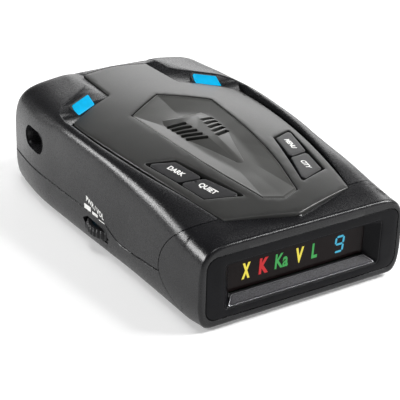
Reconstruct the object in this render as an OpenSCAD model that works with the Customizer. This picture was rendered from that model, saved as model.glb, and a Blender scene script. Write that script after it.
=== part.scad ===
// Dashboard radar detector: a low rounded case with a display end, a raised top panel
// with a sunken speaker grille, four keys, a volume wheel and the parts inside.
// Frame: +X right, +Y towards the road, +Z up. The origin is the middle of the base.

/* [Case] */
// Distance from the origin to the display face
front_len = 57.6; // [57:0.1:58]
// Distance from the origin to the road end
rear_len = 58.6; // [58.4:0.1:58.8]
// Half width of the case at the volume wheel
case_half_w = 35.2; // [34.8:0.1:35.6]
// Height of the top panel's highest line
top_z = 33.4; // [32:0.1:35]
// Wall thickness of the mouldings
wall = 1.8; // [1.4:0.1:2.2]
// Visible gap between two mouldings
seam = 0.3; // [0.25:0.05:0.35]

/* [Parting] */
// Height of the parting line behind the volume wheel
part_z_rear = 11; // [10.8:0.1:11.2]
// Height of the parting line ahead of the volume wheel
part_z_front = 7.8; // [7.6:0.1:8]

/* [Top panel] */
// Thickness of the raised panel
panel_t = 1.8; // [1.6:0.1:2]
// Depth of the seat below the panel's surface
seat_depth = 2.6; // [2.4:0.1:2.8]
// Width of the groove beside the panel at mid length
groove_w = 1.9; // [1.4:0.1:2.2]

/* [Display] */
// Half width of the display recess at the face
recess_half_w = 25.9; // [25:0.1:26.5]
// Bottom of the display recess
recess_low_z = 6; // [5.5:0.1:6.5]
// Top of the display recess
recess_high_z = 19.1; // [18.5:0.1:19.5]
// Depth from the face to the smoked lens
lens_depth = 3.6; // [3:0.1:4]

/* [Keys] */
// Travel of a key
key_travel = 0.5; // [0.4:0.05:0.5]
// Thickness of a key cap
key_t = 1.6; // [1.5:0.1:1.7]

/* [Volume wheel] */
// Radius of the wheel
wheel_r = 9; // [8.8:0.1:9]
// Thickness of the wheel
wheel_t = 2.8; // [2.6:0.1:2.8]
// Distance that the wheel stands out of the case wall
wheel_proud = 1.6; // [1.4:0.1:1.7]
// Number of knurl teeth
wheel_teeth = 36; // [30:1:40]

/* [Bracket latch] */
// Width of the bracket tongue's slot
slot_w = 22; // [20:1:22]
// Height of the bracket tongue's slot
slot_h = 4.6; // [4.4:0.1:4.8]

/* [Hidden] */
$fn = 48;

front_y = -front_len;
eps = 0.01;
big = 200;

// ---- Case surface -----------------------------------------------------------------

function clamp(v, low, high) = min(max(v, low), high);
function mix(a, b, t) = a + (b - a) * t;

// The superellipse's other coordinate, from 1 at t = 0 to 0 at t = 1.
function round_off(t, n) = pow(max(1 - pow(clamp(t, 0, 1), n), 0), 1 / n);

// Height of the top panel over the plan point x, y.
panel_flat_y = 25;
panel_arch = 0.00115;
crown_rear = 3.5;
crown_front = 1.8;
crown_x = 29;
function crown(y) = mix(crown_rear, crown_front, clamp((22 - y) / 70, 0, 1));
function panel_z(x, y) =
    top_z - panel_arch * pow(min(y - panel_flat_y, 0), 2) - crown(y) * pow(x / crown_x, 2);

// Long side of the top panel, and the shoulder's edge across the groove from it.
side_y0 = 15;
side_len = 63.2;
side_x0 = 29.4;
side_pull = 8.8;
function side_t(y) = clamp((side_y0 - y) / side_len, 0, 1);
function panel_edge(y) = side_x0 - side_pull * pow(side_t(y), 1.75);
function groove(y) = 0.25 + (groove_w - 0.15) * (1 - pow(side_t(y), 2.2));
function shoulder_edge(y) = panel_edge(y) + groove(y);

// Height of the shoulder's edge, and where the shoulder starts to fall away.
shoulder_profile = [[-57.6, 24.5], [-48.2, 26.1], [-35, 28.4], [-8, 30.3], [20, 31.4],
    [32, 33], [40, 33.6], [58, 33.6]];
shoulder_start = [[-48.2, 20.8], [-30, 24.4], [-8, 29.6], [20, 31], [32, 22], [42, 17]];
function shoulder_z(y) = lookup(y, shoulder_profile);
function shoulder_x(y) = lookup(y, shoulder_start);
function shoulder_n(y) = lookup(y, [[-20, 3.8], [20, 4], [42, 5]]);
function pod_fall(y) = lookup(y, [[10, 0], [42, 2.2]]);

widest_z = 11;
base_front_z = 1;
rim_r = 1.4;
rear_x_y = 50.5;
rear_top_y = 47;
rear_base_y = 47;
rear_mid_z = 13;
waist = [[-57.6, -1.5], [-37, -1.4], [-18, -0.9], [9, 0.1], [24, 0.7], [31, 1], [39, 0.6],
    [46, -0.2], [54, -1.3], [60, -2]];
barrel = 0.00005;
function half_w(y) = case_half_w + lookup(y, waist) - barrel * pow(y + 10, 2);
function rim_inset(y) =
    y > front_y + rim_r ? 0 : rim_r - sqrt(max(rim_r * rim_r - pow(front_y + rim_r - y, 2), 0));
function rear_part(y, start) = (y - start) / (rear_len - start);
function rear_x(y) = round_off(rear_part(y, rear_x_y), 2.5);
function rear_top(y) = round_off(rear_part(y, rear_top_y), 2.4);
function rear_base(y) = round_off(rear_part(y, rear_base_y), 2.6);
function base_z(y) = base_front_z * clamp((-50 - y) / 6, 0, 1);
function end_z(z, y) =
    rear_mid_z + (z - rear_mid_z) * (z > rear_mid_z ? rear_top(y) : rear_base(y));

shoulder_steps = 8;
belly_steps = 6;
belly_w = 4;
belly_n = 2.8;
flat_marks = [0, 0.4, 0.75];

// Right half of the case's section at y, from the top centre down to the base centre,
// drawn inwards by inset.
function half_section(y, inset) =
    let (w = half_w(y) - rim_inset(y) - inset,
         top = shoulder_z(y) - rim_inset(y) - inset,
         low = base_z(y) + rim_inset(y) + inset,
         flat = min(shoulder_x(y), w - 2),
         n = shoulder_n(y),
         f = rear_x(y))
    concat(
        [for (m = flat_marks) [m * flat * f, end_z(top, y)]],
        [for (i = [0 : shoulder_steps])
            let (a = 90 * i / shoulder_steps, out = pow(sin(a), 2 / n), up = pow(cos(a), 2 / n))
            [(flat + (w - flat) * out) * f,
             end_z(widest_z + (top - widest_z - pod_fall(y) * out) * up, y)]],
        [for (i = [1 : belly_steps])
            let (a = 90 * i / belly_steps)
            [(w - belly_w + belly_w * pow(cos(a), 2 / belly_n)) * f,
             end_z(widest_z - (widest_z - low) * pow(sin(a), 2 / belly_n), y)]],
        [[0, end_z(low, y)]]);

function ring(y, inset) =
    let (h = half_section(y, inset), n = len(h))
    concat([for (p = h) [p[0], y, p[1]]],
           [for (i = [n - 2 : -1 : 1]) [-h[i][0], y, h[i][1]]]);

stations = [-57.6, -57.45, -57, -56.2, -54, -51, -48.2, -43, -37, -30, -20, -8, 6, 20, 26,
    32, 38, 42, 46, 49, 51.5, 53.5, 55.2, 56.5, 57.5, 58.1, 58.45, 58.59];
inner_stations = [-57, -48.2, -37, -30, -20, -8, 6, 20, 26, 32, 38, 43, 47, 50, 52.5, 54.5,
    56.3, 57.5, 58.3, 58.57];

// Closed solid through equal rings of points; each ring lies in one plane.
module loft(rings) {
    n = len(rings[0]);
    last = len(rings) - 1;
    points = [for (r = rings) each r];
    sides = [for (k = [0 : last - 1], i = [0 : n - 1])
        let (j = (i + 1) % n)
        each [[k * n + i, (k + 1) * n + i, k * n + j],
              [k * n + j, (k + 1) * n + i, (k + 1) * n + j]]];
    caps = [[for (i = [0 : n - 1]) i], [for (i = [n - 1 : -1 : 0]) last * n + i]];
    polyhedron(points, concat(sides, caps), convexity = 6);
}

module case_outside() {
    loft([for (y = stations) ring(y, 0)]);
}

module case_inside() {
    squeeze = (rear_len - wall) / rear_len;
    difference() {
        loft([for (y = inner_stations)
            [for (p = ring(y, wall)) [p[0], p[1] * squeeze, p[2]]]]);
        panel_sheet(-seat_depth - 1.7, 12);
    }
}

// Everything between the panel's surface lowered by low and that plus height.
sheet_x = [-37, -29, -21.5, -14, -7, 0, 7, 14, 21.5, 29, 37];
sheet_y = [-60, -50, -41, -32, -23, -13, -3, 7, 17, 26, 60];
module panel_sheet(low, height) {
    loft([for (y = sheet_y)
        concat([for (x = sheet_x) [x, y, panel_z(x, y) + low + height]],
               [for (i = [len(sheet_x) - 1 : -1 : 0])
                   [sheet_x[i], y, panel_z(sheet_x[i], y) + low]])]);
}

// A solid that stands for the space on one side of a line drawn in the Y-Z plane.
module across(points) {
    translate([big / 2, 0, 0])
        rotate([90, 0, -90])
            linear_extrude(big)
                polygon([for (p = points) [-p[0], p[1]]]);
}

// Seam of the front collar, as y over z: an arc that reaches furthest back at seam_z.
seam_y = -36.9;
seam_z = 11;
function collar_y(z) =
    z > seam_z ? seam_y - 11.3 * pow((z - seam_z) / 16.3, 1.8)
               : seam_y - 6.5 * pow((seam_z - z) / 7.1, 2);
module collar_side(shift) {
    across(concat([[-90, -5]], [for (z = [-1 : 2 : 33]) [max(collar_y(z), -49) + shift, z]],
                  [[-90, 33]]));
}

// Parting line, as z over y: level, with a short drop ahead of the volume wheel.
jog_y0 = -6;
jog_y1 = -17;
function part_z(y) =
    let (t = clamp((jog_y0 - y) / (jog_y0 - jog_y1), 0, 1))
    mix(part_z_rear, part_z_front, t * t * (3 - 2 * t)) + 1.6 * clamp((-22 - y) / 16, 0, 1);
module below_parting(shift) {
    across(concat([[-60, -5]], [for (y = [-60 : 4 : -20]) [y, part_z(y) + shift]],
                  [for (y = [-18 : 2 : -8]) [y, part_z(y) + shift]],
                  [[60, part_z(60) + shift], [60, -5]]));
}

// ---- Plan outlines ----------------------------------------------------------------

function mirrored(half) =
    concat(half, [for (i = [len(half) - 1 : -1 : 0]) [-half[i][0], half[i][1]]]);
function corner_arc(centre, r, a0, a1, steps) =
    [for (i = [0 : steps]) let (a = mix(a0, a1, i / steps))
        [centre[0] + r * cos(a), centre[1] + r * sin(a)]];

panel_nose_y = -54;
panel_corner_y = -48.2;
panel_tail_y = 48;
tail_start_y = 22;
panel_half = concat(
    [[0.01, panel_nose_y]],
    [for (y = [panel_corner_y : 7.9 : side_y0]) [panel_edge(y), y]],
    corner_arc([26.4, 18.9], 3, 5, 62, 4),
    [[19, 26.2]],
    corner_arc([13.9, 30.2], 1.7, -120, -180, 3),
    [[11.4, panel_tail_y], [0.01, panel_tail_y + 1.2]]);

seat_half = concat(
    [[0.01, -70], [shoulder_edge(panel_corner_y), -70]],
    [for (y = [panel_corner_y : 7.9 : side_y0]) [shoulder_edge(y), y]],
    [[31.8, 20], [30.6, 25.5], [27.6, 29.8], [20.2, 33.2], [18.4, 38], [15.8, 50], [15.2, 70],
     [12.4, 70], [12, 48.4], [0.01, 49.6]]);

grille_half = [[0.01, -46.7], [5.5, -44.5], [9, -30.9], [10.8, -21.5], [12.5, -8], [13.9, 12.4],
    [0.01, 21.6]];

module panel_outline(grow) {
    offset(delta = grow)
        polygon(mirrored(panel_half));
}
module seat_outline() {
    polygon(mirrored(seat_half));
}
module grille_outline(grow) {
    offset(delta = grow)
        polygon(mirrored(grille_half));
}

// ---- Keys -------------------------------------------------------------------------

key_x = 17.6;
key_y = -27.5;
key_slope_x = -0.096;
key_slope_y = 0.121;
key_drop = 0.35;
key_z = panel_z(key_x, key_y) - key_drop;
rear_key = [[16.9, -17.9], [24.5, -14.4], [21.7, -26.9], [14.6, -28.5]];
front_key = [[14.4, -29.1], [21.6, -27.4], [19.9, -37.2], [10.1, -41.2]];
key_pocket = [[16.6, -17.3], [25, -13.6], [20.3, -37.8], [9.5, -41.7]];
key_normal = [-key_slope_x, -key_slope_y, 1] / norm([-key_slope_x, -key_slope_y, 1]);

// Puts a shape drawn in plan, about the key centre, on the sloping plane of the keys.
// side is 1 on the right and -1 on the left.
module key_frame(side) {
    n = [side * key_normal[0], key_normal[1], key_normal[2]];
    u = [n[2], 0, -n[0]] / norm([n[2], 0, -n[0]]);
    v = cross(n, u);
    multmatrix([[u[0], v[0], n[0], side * key_x],
                [u[1], v[1], n[1], key_y],
                [u[2], v[2], n[2], key_z],
                [0, 0, 0, 1]])
        children();
}
function about_key(points, side) =
    [for (p = points) [side * (p[0] - key_x), p[1] - key_y]];
function centre_of(points) = (points[0] + points[1] + points[2] + points[3]) / 4;

stem_r = 1.2;
stem_len = 0.5;
module key(side, outline) {
    plan = about_key(outline, side);
    middle = centre_of(plan);
    key_frame(side) {
        translate([0, 0, -key_t])
            linear_extrude(key_t)
                polygon(plan);
        translate([middle[0], middle[1], -key_t - stem_len])
            cylinder(r = stem_r, h = stem_len + eps);
    }
}

mat_top = -key_t - stem_len - key_travel - 0.1;
mat_t = 0.5;
key_board_t = 0.5;
key_seat_grow = 0.27;
module key_mat(side) {
    key_frame(side)
        translate([0, 0, mat_top - mat_t])
            linear_extrude(mat_t)
                polygon(about_key(key_pocket, side));
}
module key_board(side) {
    key_frame(side)
        translate([0, 0, mat_top - mat_t - key_board_t])
            linear_extrude(key_board_t - eps)
                polygon(about_key(key_pocket, side));
}
module key_hole(side, low, high, grow) {
    key_frame(side)
        translate([0, 0, low])
            linear_extrude(high - low)
                offset(delta = grow)
                    polygon(about_key(key_pocket, side));
}

// ---- Volume wheel -----------------------------------------------------------------

wheel_y = -3;
wheel_z = 5;
wheel_x = -(half_w(wheel_y) + wheel_proud - wheel_r);
wheel_gap = 0.4;
shaft_r = 1.5;
shaft_gap = 0.05;
wheel_opening = [[-10.5, 6.3], [-7, 4.5], [1.2, 4.5], [4.2, 7.6], [1.2, 9.2], [-7, 8.6]];

module wheel_slot() {
    translate([-big / 2, 0, 0])
        rotate([90, 0, 90])
            linear_extrude(big / 2 - half_w(wheel_y) + 5)
                polygon(wheel_opening);
    translate([wheel_x, wheel_y, wheel_z - wheel_gap])
        cylinder(r = wheel_r + wheel_gap, h = wheel_t + 2 * wheel_gap);
}

// ---- Socket -----------------------------------------------------------------------

socket_y = 34.8;
socket_z = 20.6;
socket_len = 12.8;
socket_high = 7;
socket_turn = 6;
socket_floor = 4.2;
socket_face_x = -35.7;
socket_block = [12, 17, 10.8];

// Frame of the side socket: X points out of the case, Z is up.
module socket_frame() {
    translate([socket_face_x, socket_y, socket_z])
        rotate([0, 0, 180 - socket_turn])
            children();
}
module oblong(len_y, high_z, depth) {
    r = high_z / 2;
    rotate([0, 90, 0])
        linear_extrude(depth)
            union() {
                square([high_z, len_y - high_z], center = true);
                for (s = [-1, 1])
                    translate([0, s * (len_y / 2 - r)])
                        circle(r = r);
            }
}

// ---- Bracket latch ----------------------------------------------------------------

slot_z = 2.3;
slot_y0 = 40;
slot_wall = 1.3;
slot_roof = 1;
latch_y = 46;
latch_gap = 0.3;
latch_bar_z = slot_z + slot_h + slot_roof + latch_gap;
latch_bar_t = 1.2;
latch_bar_w = 5;
tooth_t = 1.2;
tooth_reach = 1.5;
tooth_low_z = slot_z + 0.7;
button_y = latch_y;
button_len = 9;
button_low_z = 5;
button_high = 5;
button_gap = 0.3;
button_inner_x = 27;
spring_stop_x = -21.7;

// ---- Bosses and screws ------------------------------------------------------------

boss_r = 2.8;
screw_r = 1.1;
screw_head_r = 2;
screw_head_t = 1.4;
case_screw_x = 25.5;
case_screw_ys = [-31, 20];
board_screw_x = 19;
board_screw_ys = [-38, 12];
board_z = 9.9;
board_t = 1.4;
board_top = board_z + board_t + 0.02;
module at_case_screws() {
    for (s = [-1, 1], y = case_screw_ys)
        translate([s * case_screw_x, y, 0])
            children();
}
module at_board_screws() {
    for (s = [-1, 1], y = board_screw_ys)
        translate([s * board_screw_x, y, 0])
            children();
}

// ---- Shells -----------------------------------------------------------------------

module lower_housing() {
    color([0.13, 0.13, 0.135])
        resize([0, 0, 0])
            difference() {
                union() {
                    intersection() {
                        difference() {
                            case_outside();
                            case_inside();
                        }
                        below_parting(-seam / 2);
                    }
                    intersection() {
                        case_outside();
                        union() {
                            for (s = [-1, 1], y = case_screw_ys)
                                translate([s * case_screw_x, y, 0])
                                    cylinder(r = boss_r, h = part_z(y) - seam);
                            at_board_screws() cylinder(r = boss_r, h = board_z - eps);
                            translate([-slot_w / 2 - slot_wall, slot_y0 - slot_wall, 1])
                                cube([slot_w + 2 * slot_wall, 20, slot_z + slot_h + slot_roof - 1]);
                            translate([spring_stop_x - 1.3, latch_y - 2.5, 1])
                                cube([1.3, 5, latch_bar_z]);
                        }
                    }
                }
                collar_side(seam / 2);
                wheel_slot();
                at_case_screws() {
                    translate([0, 0, -1])
                        cylinder(r = screw_r + 0.1, h = 20);
                    translate([0, 0, -1])
                        cylinder(r = screw_head_r + 0.2, h = 1 + screw_head_t + 0.3);
                }
                at_board_screws()
                    translate([0, 0, board_z - 5]) cylinder(r = screw_r, h = 9);
                translate([-slot_w / 2, slot_y0, slot_z])
                    cube([slot_w, 30, slot_h]);
                tooth_path();
                button_hole();
            }
}

// Room for the latch bar's tooth and its whole travel.
module tooth_path() {
    translate([-slot_w / 2 - slot_wall - eps, latch_y - latch_bar_w / 2 - latch_gap, slot_z])
        cube([slot_wall + tooth_reach + latch_gap, latch_bar_w + 2 * latch_gap,
              slot_h + slot_roof + 1]);
}
module button_hole() {
    translate([button_inner_x - 1, button_y - button_len / 2 - button_gap,
               button_low_z - button_gap])
        cube([12, button_len + 2 * button_gap, button_high + 2 * button_gap]);
}

module upper_housing() {
    color([0.12, 0.12, 0.125])
        resize([0, 0, 0])
            difference() {
                union() {
                    difference() {
                        case_outside();
                        case_inside();
                    }
                    intersection() {
                        case_outside();
                        union() {
                            for (s = [-1, 1], y = case_screw_ys)
                                translate([s * case_screw_x, y, part_z(y) - 1.5])
                                    cylinder(r = boss_r, h = 21);
                            socket_frame()
                                translate([-socket_floor - 3.4, -socket_block[1] / 2,
                                           -socket_block[2] / 2])
                                    cube(socket_block);
                            speaker_ring();
                        }
                    }
                    for (s = [-1, 1])
                        intersection() {
                            case_outside();
                            key_hole(s, mat_top - mat_t - key_board_t - 1.2, mat_top + 0.4, 1.4);
                            panel_sheet(-9, 9 - seat_depth);
                        }
                }
                below_parting(seam / 2);
                collar_side(seam / 2);
                seat_cut();
                linear_extrude(60) grille_outline(-0.9);
                intersection() {
                    linear_extrude(60) grille_outline(grille_gap);
                    panel_sheet(-grille_low - 0.15, 20);
                }
                for (s = [-1, 1])
                    key_hole(s, mat_top - mat_t - key_board_t, 3, key_seat_grow);
                at_case_screws()
                    cylinder(r = screw_r - 0.15, h = 24);
                wheel_slot();
                socket_frame() {
                    translate([-socket_floor, 0, 0]) oblong(socket_len, socket_high, 12);
                    translate([-30, -4.6, -2.6]) cube([30, 9.2, 5.2]);
                }
                laser_window_box(0.12);
                alert_seat();
                mirror([1, 0, 0]) alert_seat();
                button_hole();
            }
}

// Seat of the top panel: deep under the panel and beside it, shallow round its tail.
module seat_cut() {
    intersection() {
        linear_extrude(60) seat_outline();
        union() {
            intersection() {
                panel_sheet(-seat_depth, 20);
                translate([-big / 2, -big, 0]) cube([big, big + tail_start_y, 60]);
            }
            panel_sheet(-0.35, 20);
        }
    }
    intersection() {
        linear_extrude(60) panel_outline(0.25);
        panel_sheet(-seat_depth, 20);
    }
}

module front_collar() {
    color([0.11, 0.11, 0.115])
        resize([0, 0, 0])
            difference() {
                intersection() {
                    difference() {
                        case_outside();
                        case_inside();
                    }
                    collar_side(-seam / 2);
                }
                translate([0, front_y - 5, 0])
                    bezel_block(0.12, 10);
                intersection() {
                    linear_extrude(60) panel_outline(0.15);
                    panel_sheet(-panel_t - 0.1, 20);
                }
                linear_extrude(60) grille_outline(grille_gap);
            }
}

module top_panel() {
    color([0.2, 0.2, 0.205])
        resize([0, 0, 0])
            difference() {
                intersection() {
                    linear_extrude(60) panel_outline(0);
                    panel_sheet(-panel_t, panel_t);
                }
                linear_extrude(60) grille_outline(grille_gap);
                for (s = [-1, 1])
                    key_hole(s, -8, 8, 0);
            }
}

// ---- Speaker grille ---------------------------------------------------------------

valley = 1.7;
grille_low = 3.3;
grille_gap = 0.12;
nose_rear = [3, 3.5];
nose_tip_y = -25.7;
louvre_count = 5;
louvre_w = 1.5;

// Space over the grille: shallow at the rim, with a valley all round the nose.
dish_middle = [0, -8];
dish_floor = [0.6, 0.67];
rim_over = 1.15;
rim_rise = 0.3;
function panel_point(x, y, drop) = [x, y, panel_z(x, y) - drop];
function about_middle(p, k) =
    [dish_middle[0] + (p[0] - dish_middle[0]) * k[0], dish_middle[1] + (p[1] - dish_middle[1]) * k[1]];
module grille_dish() {
    rim = mirrored(grille_half);
    outer = [for (p = rim) about_middle(p, [rim_over, rim_over])];
    inner = [for (p = rim) about_middle(p, dish_floor)];
    loft([[for (p = inner) panel_point(p[0], p[1], valley)],
          [for (p = outer) panel_point(p[0], p[1], -rim_rise)],
          [for (p = outer) [p[0], p[1], 50]]]);
}

module grille_nose() {
    foot = [[7.6, 8.5], [8.2, -1], [6.4, -12], [2.6, -24]];
    hull() {
        for (s = [-1, 1]) {
            for (p = foot)
                translate(panel_point(s * p[0], p[1], valley + 0.8))
                    cube([0.02, 0.02, 0.8]);
            translate(panel_point(s * nose_rear[0], nose_rear[1], 0.3))
                cube([0.02, 0.02, 0.1]);
        }
        translate(panel_point(0, -13, 0.8))
            cube([0.02, 0.02, 0.1]);
        translate(panel_point(0, nose_tip_y - 3, valley + 0.8))
            cube([0.02, 0.02, 0.4]);
    }
}

// Slots cut across the nose, from its ridge out to the dish, closer together at the tip.
module louvres(low) {
    for (s = [-1, 1], i = [0 : louvre_count - 1]) {
        t = i / (louvre_count - 1);
        inner = [mix(2.6, 1.4, t), mix(-0.1, -10.2, t)];
        outer = [mix(8, 7.2, t), mix(1.9, -7.5, t)];
        reach = outer - inner;
        translate([s * inner[0], inner[1], low])
            rotate([0, 0, s > 0 ? atan2(reach[1], reach[0]) : 180 - atan2(reach[1], reach[0])])
                translate([0, -louvre_w / 2, 0])
                    cube([norm(reach), louvre_w, 30]);
    }
}

module speaker_grille() {
    color([0.24, 0.24, 0.245])
        resize([0, 0, 0])
            difference() {
                union() {
                    difference() {
                        intersection() {
                            linear_extrude(60) grille_outline(0);
                            panel_sheet(-grille_low, grille_low - 0.12);
                        }
                        grille_dish();
                    }
                    grille_nose();
                }
                louvres(20);
            }
}

// ---- Display end ------------------------------------------------------------------

face_half_w = 31.6;
face_low_z = 3.2;
face_high_z = 21.8;
face_corner = 3.4;
bezel_t = 2.2;
lens_t = 1.2;
lens_half_w = 22.6;
lens_low_z = 9.2;
lens_high_z = 17.4;
lens_y = front_y + lens_depth;
bezel_depth = lens_depth + lens_t;

// A block with rounded corners in the X-Z plane, starting at y = 0.
module face_block(half_x, low, high, r, depth) {
    translate([0, depth, 0])
        rotate([90, 0, 0])
            linear_extrude(depth)
                union() {
                    translate([-half_x + r, low]) square([2 * half_x - 2 * r, high - low]);
                    translate([-half_x, low + r]) square([2 * half_x, high - low - 2 * r]);
                    for (sx = [-1, 1], z = [low + r, high - r])
                        translate([sx * (half_x - r), z]) circle(r = r);
                }
}
module bezel_block(grow, depth) {
    face_block(face_half_w + grow, face_low_z - grow, face_high_z + grow, face_corner, depth);
}

function recess_ring(y, t) =
    let (hx = mix(recess_half_w, lens_half_w, t), lo = mix(recess_low_z, lens_low_z, t),
         hi = mix(recess_high_z, lens_high_z, t))
    [[hx, y, lo], [-hx, y, lo], [-hx, y, hi], [hx, y, hi]];

module display_bezel() {
    color([0.1, 0.1, 0.105])
        difference() {
            union() {
                translate([0, front_y, 0]) bezel_block(0, bezel_t);
                translate([0, front_y, 0])
                    face_block(27.6, 4.4, 20.6, 1.5, bezel_depth);
            }
            loft([recess_ring(front_y - eps, 0), recess_ring(lens_y, 1)]);
            translate([0, lens_y, 0])
                face_block(lens_half_w + 1.5, lens_low_z - 1.5, lens_high_z + 1.5, 1, 5);
        }
}

ledge_half_low = 24;
ledge_half_high = 21.8;
module display_ledge() {
    color([0.16, 0.16, 0.17])
        loft([for (e = [[front_y + 0.15, 0.05, 0.25, ledge_half_low],
                        [front_y + 2.9, 1.7 * 0.8, 2.6 * 0.55, ledge_half_high]])
            let (floor_z = recess_low_z + (lens_low_z - recess_low_z)
                           * (e[0] - front_y) / lens_depth + 0.02)
            [[e[3], e[0], floor_z], [-e[3], e[0], floor_z],
             [-e[3], e[0], floor_z + 0.35], [e[3], e[0], floor_z + 0.35]]]);
}

module display_lens() {
    color([0.05, 0.045, 0.045])
        translate([0, lens_y + 0.05, 0])
            face_block(lens_half_w + 1.4, lens_low_z - 1.4, lens_high_z + 1.4, 1, lens_t - 0.1);
}

module_y = lens_y + lens_t + 0.3;
module display_module() {
    color([0.08, 0.08, 0.08])
        translate([-21.5, module_y, 8.2])
            cube([43, 2.4, 10]);
}

display_board_y = module_y + 2.4 + 0.02;
module display_board() {
    color([0.05, 0.3, 0.12])
        difference() {
            translate([-27, display_board_y, 4.6])
                cube([54, 1.2, 16]);
            for (s = [-1, 1])
                translate([s * 24.5, display_board_y - 1, 12])
                    rotate([-90, 0, 0])
                        cylinder(r = 1.1, h = 4);
        }
}

module display_ribbon() {
    y0 = display_board_y + 1.22;
    color([0.75, 0.75, 0.72])
        translate([-7, 0, 0])
            rotate([90, 0, 90])
                linear_extrude(14)
                    polygon([[y0, 14], [y0 + 0.3, 14], [y0 + 0.3, board_top + 0.3],
                             [y0 + 5.3, board_top + 0.3], [y0 + 5.3, board_top],
                             [y0, board_top]]);
}

// ---- Alert lights -----------------------------------------------------------------

alert_centre = [22.15, 27.5, 32.1];
alert_across = [7.4, -3.35, -1.15] / norm([7.4, -3.35, -1.15]);
alert_normal = [-0.127, -0.562, 0.817] / norm([-0.127, -0.562, 0.817]);
alert_face = [[-4.5, 1.9], [3.1, 1.9], [4.9, -1.9], [-3.4, -1.9]];
alert_t = 2.6;
alert_gap = 0.15;
pipe_x = 21.6;
pipe_y = 26.6;
pipe_r = 1.3;
led_high = 2;

// Frame of the right alert light: Z is the normal of its lit face, which leans forwards.
module alert_frame() {
    u = alert_across;
    v = cross(alert_normal, u) / norm(cross(alert_normal, u));
    n = cross(u, v);
    c = alert_centre;
    multmatrix([[u[0], v[0], n[0], c[0]],
                [u[1], v[1], n[1], c[1]],
                [u[2], v[2], n[2], c[2]],
                [0, 0, 0, 1]])
        children();
}
module alert_seat() {
    alert_frame()
        translate([0, 0, -alert_t - alert_gap])
            linear_extrude(alert_t + 12)
                offset(delta = alert_gap)
                    polygon(alert_face);
    translate([pipe_x, pipe_y, 16])
        cylinder(r = pipe_r + 2 * alert_gap, h = 15.5);
}
module alert_lens() {
    color([0.08, 0.75, 1]) {
        alert_frame()
            translate([0, 0, -alert_t])
                linear_extrude(alert_t)
                    polygon(alert_face);
        translate([pipe_x, pipe_y, board_top + led_high + 0.2])
            cylinder(r = pipe_r, h = 30.6 - board_top - led_high - 0.2);
    }
}
module alert_lens_right() {
    alert_lens();
}
module alert_lens_left() {
    mirror([1, 0, 0]) alert_lens();
}
module alert_leds() {
    color([0.9, 0.9, 0.85])
        for (s = [-1, 1])
            translate([s * pipe_x - 1.4, pipe_y - 1.2, board_top])
                cube([2.8, 2.4, led_high]);
}

// ---- Keys, mats and boards --------------------------------------------------------

module dim_key() {
    color([0.17, 0.17, 0.175]) key(-1, rear_key);
}
module mute_key() {
    color([0.17, 0.17, 0.175]) key(-1, front_key);
}
module menu_key() {
    color([0.17, 0.17, 0.175]) key(1, rear_key);
}
module city_key() {
    color([0.17, 0.17, 0.175]) key(1, front_key);
}
module key_mat_left() {
    color([0.3, 0.3, 0.32]) key_mat(-1);
}
module key_mat_right() {
    color([0.3, 0.3, 0.32]) key_mat(1);
}
module key_board_left() {
    color([0.05, 0.3, 0.12]) key_board(-1);
}
module key_board_right() {
    color([0.05, 0.3, 0.12]) key_board(1);
}

// ---- Volume control ---------------------------------------------------------------

module volume_wheel() {
    tooth_gap = 360 / wheel_teeth;
    color([0.14, 0.14, 0.145])
        difference() {
            translate([wheel_x, wheel_y, wheel_z])
                cylinder(r = wheel_r, h = wheel_t);
            translate([wheel_x, wheel_y, wheel_z - 1])
                cylinder(r = shaft_r, h = wheel_t + 2);
            for (i = [0 : wheel_teeth - 1])
                translate([wheel_x, wheel_y, wheel_z - 1])
                    rotate([0, 0, i * tooth_gap])
                        translate([wheel_r, 0, 0])
                            rotate([0, 0, 45])
                                cube([0.6, 0.6, 2 * (wheel_t + 2)], center = true);
        }
}
pot_low_z = wheel_z + wheel_t + wheel_gap;
module volume_shaft() {
    color([0.8, 0.8, 0.78])
        translate([wheel_x, wheel_y, wheel_z + 0.2])
            cylinder(r = shaft_r - 0.01, h = pot_low_z + 0.8 - wheel_z - 0.2);
}
module volume_pot() {
    color([0.25, 0.25, 0.27])
        difference() {
            translate([wheel_x - 4, wheel_y - 4.5, pot_low_z])
                cube([8, 9, board_z - pot_low_z - 0.02]);
            translate([wheel_x, wheel_y, pot_low_z - 1])
                cylinder(r = shaft_r + shaft_gap, h = 2);
        }
}

// ---- Power and data socket --------------------------------------------------------

shell_len = 8;
shell_high = 4;
shell_t = 0.35;
module socket_shell() {
    color([0.75, 0.75, 0.76])
        socket_frame()
            translate([-socket_floor - 6, 0, 0])
                difference() {
                    translate([0, -shell_len / 2, -shell_high / 2])
                        cube([6.2, shell_len, shell_high]);
                    translate([1, -shell_len / 2 + shell_t, -shell_high / 2 + shell_t])
                        cube([7, shell_len - 2 * shell_t, shell_high - 2 * shell_t]);
                }
}
module socket_tongue() {
    color([0.06, 0.06, 0.06])
        socket_frame()
            translate([-socket_floor - 4.98, -2.9, 0.1])
                cube([4.4, 5.8, 0.9]);
}
module socket_contacts() {
    color([0.85, 0.65, 0.3])
        socket_frame()
            for (i = [-2 : 2])
                translate([-socket_floor - 4.9, i * 1 - 0.2, -0.13])
                    cube([4.1, 0.4, 0.22]);
}

// ---- Boards -----------------------------------------------------------------------

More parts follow.
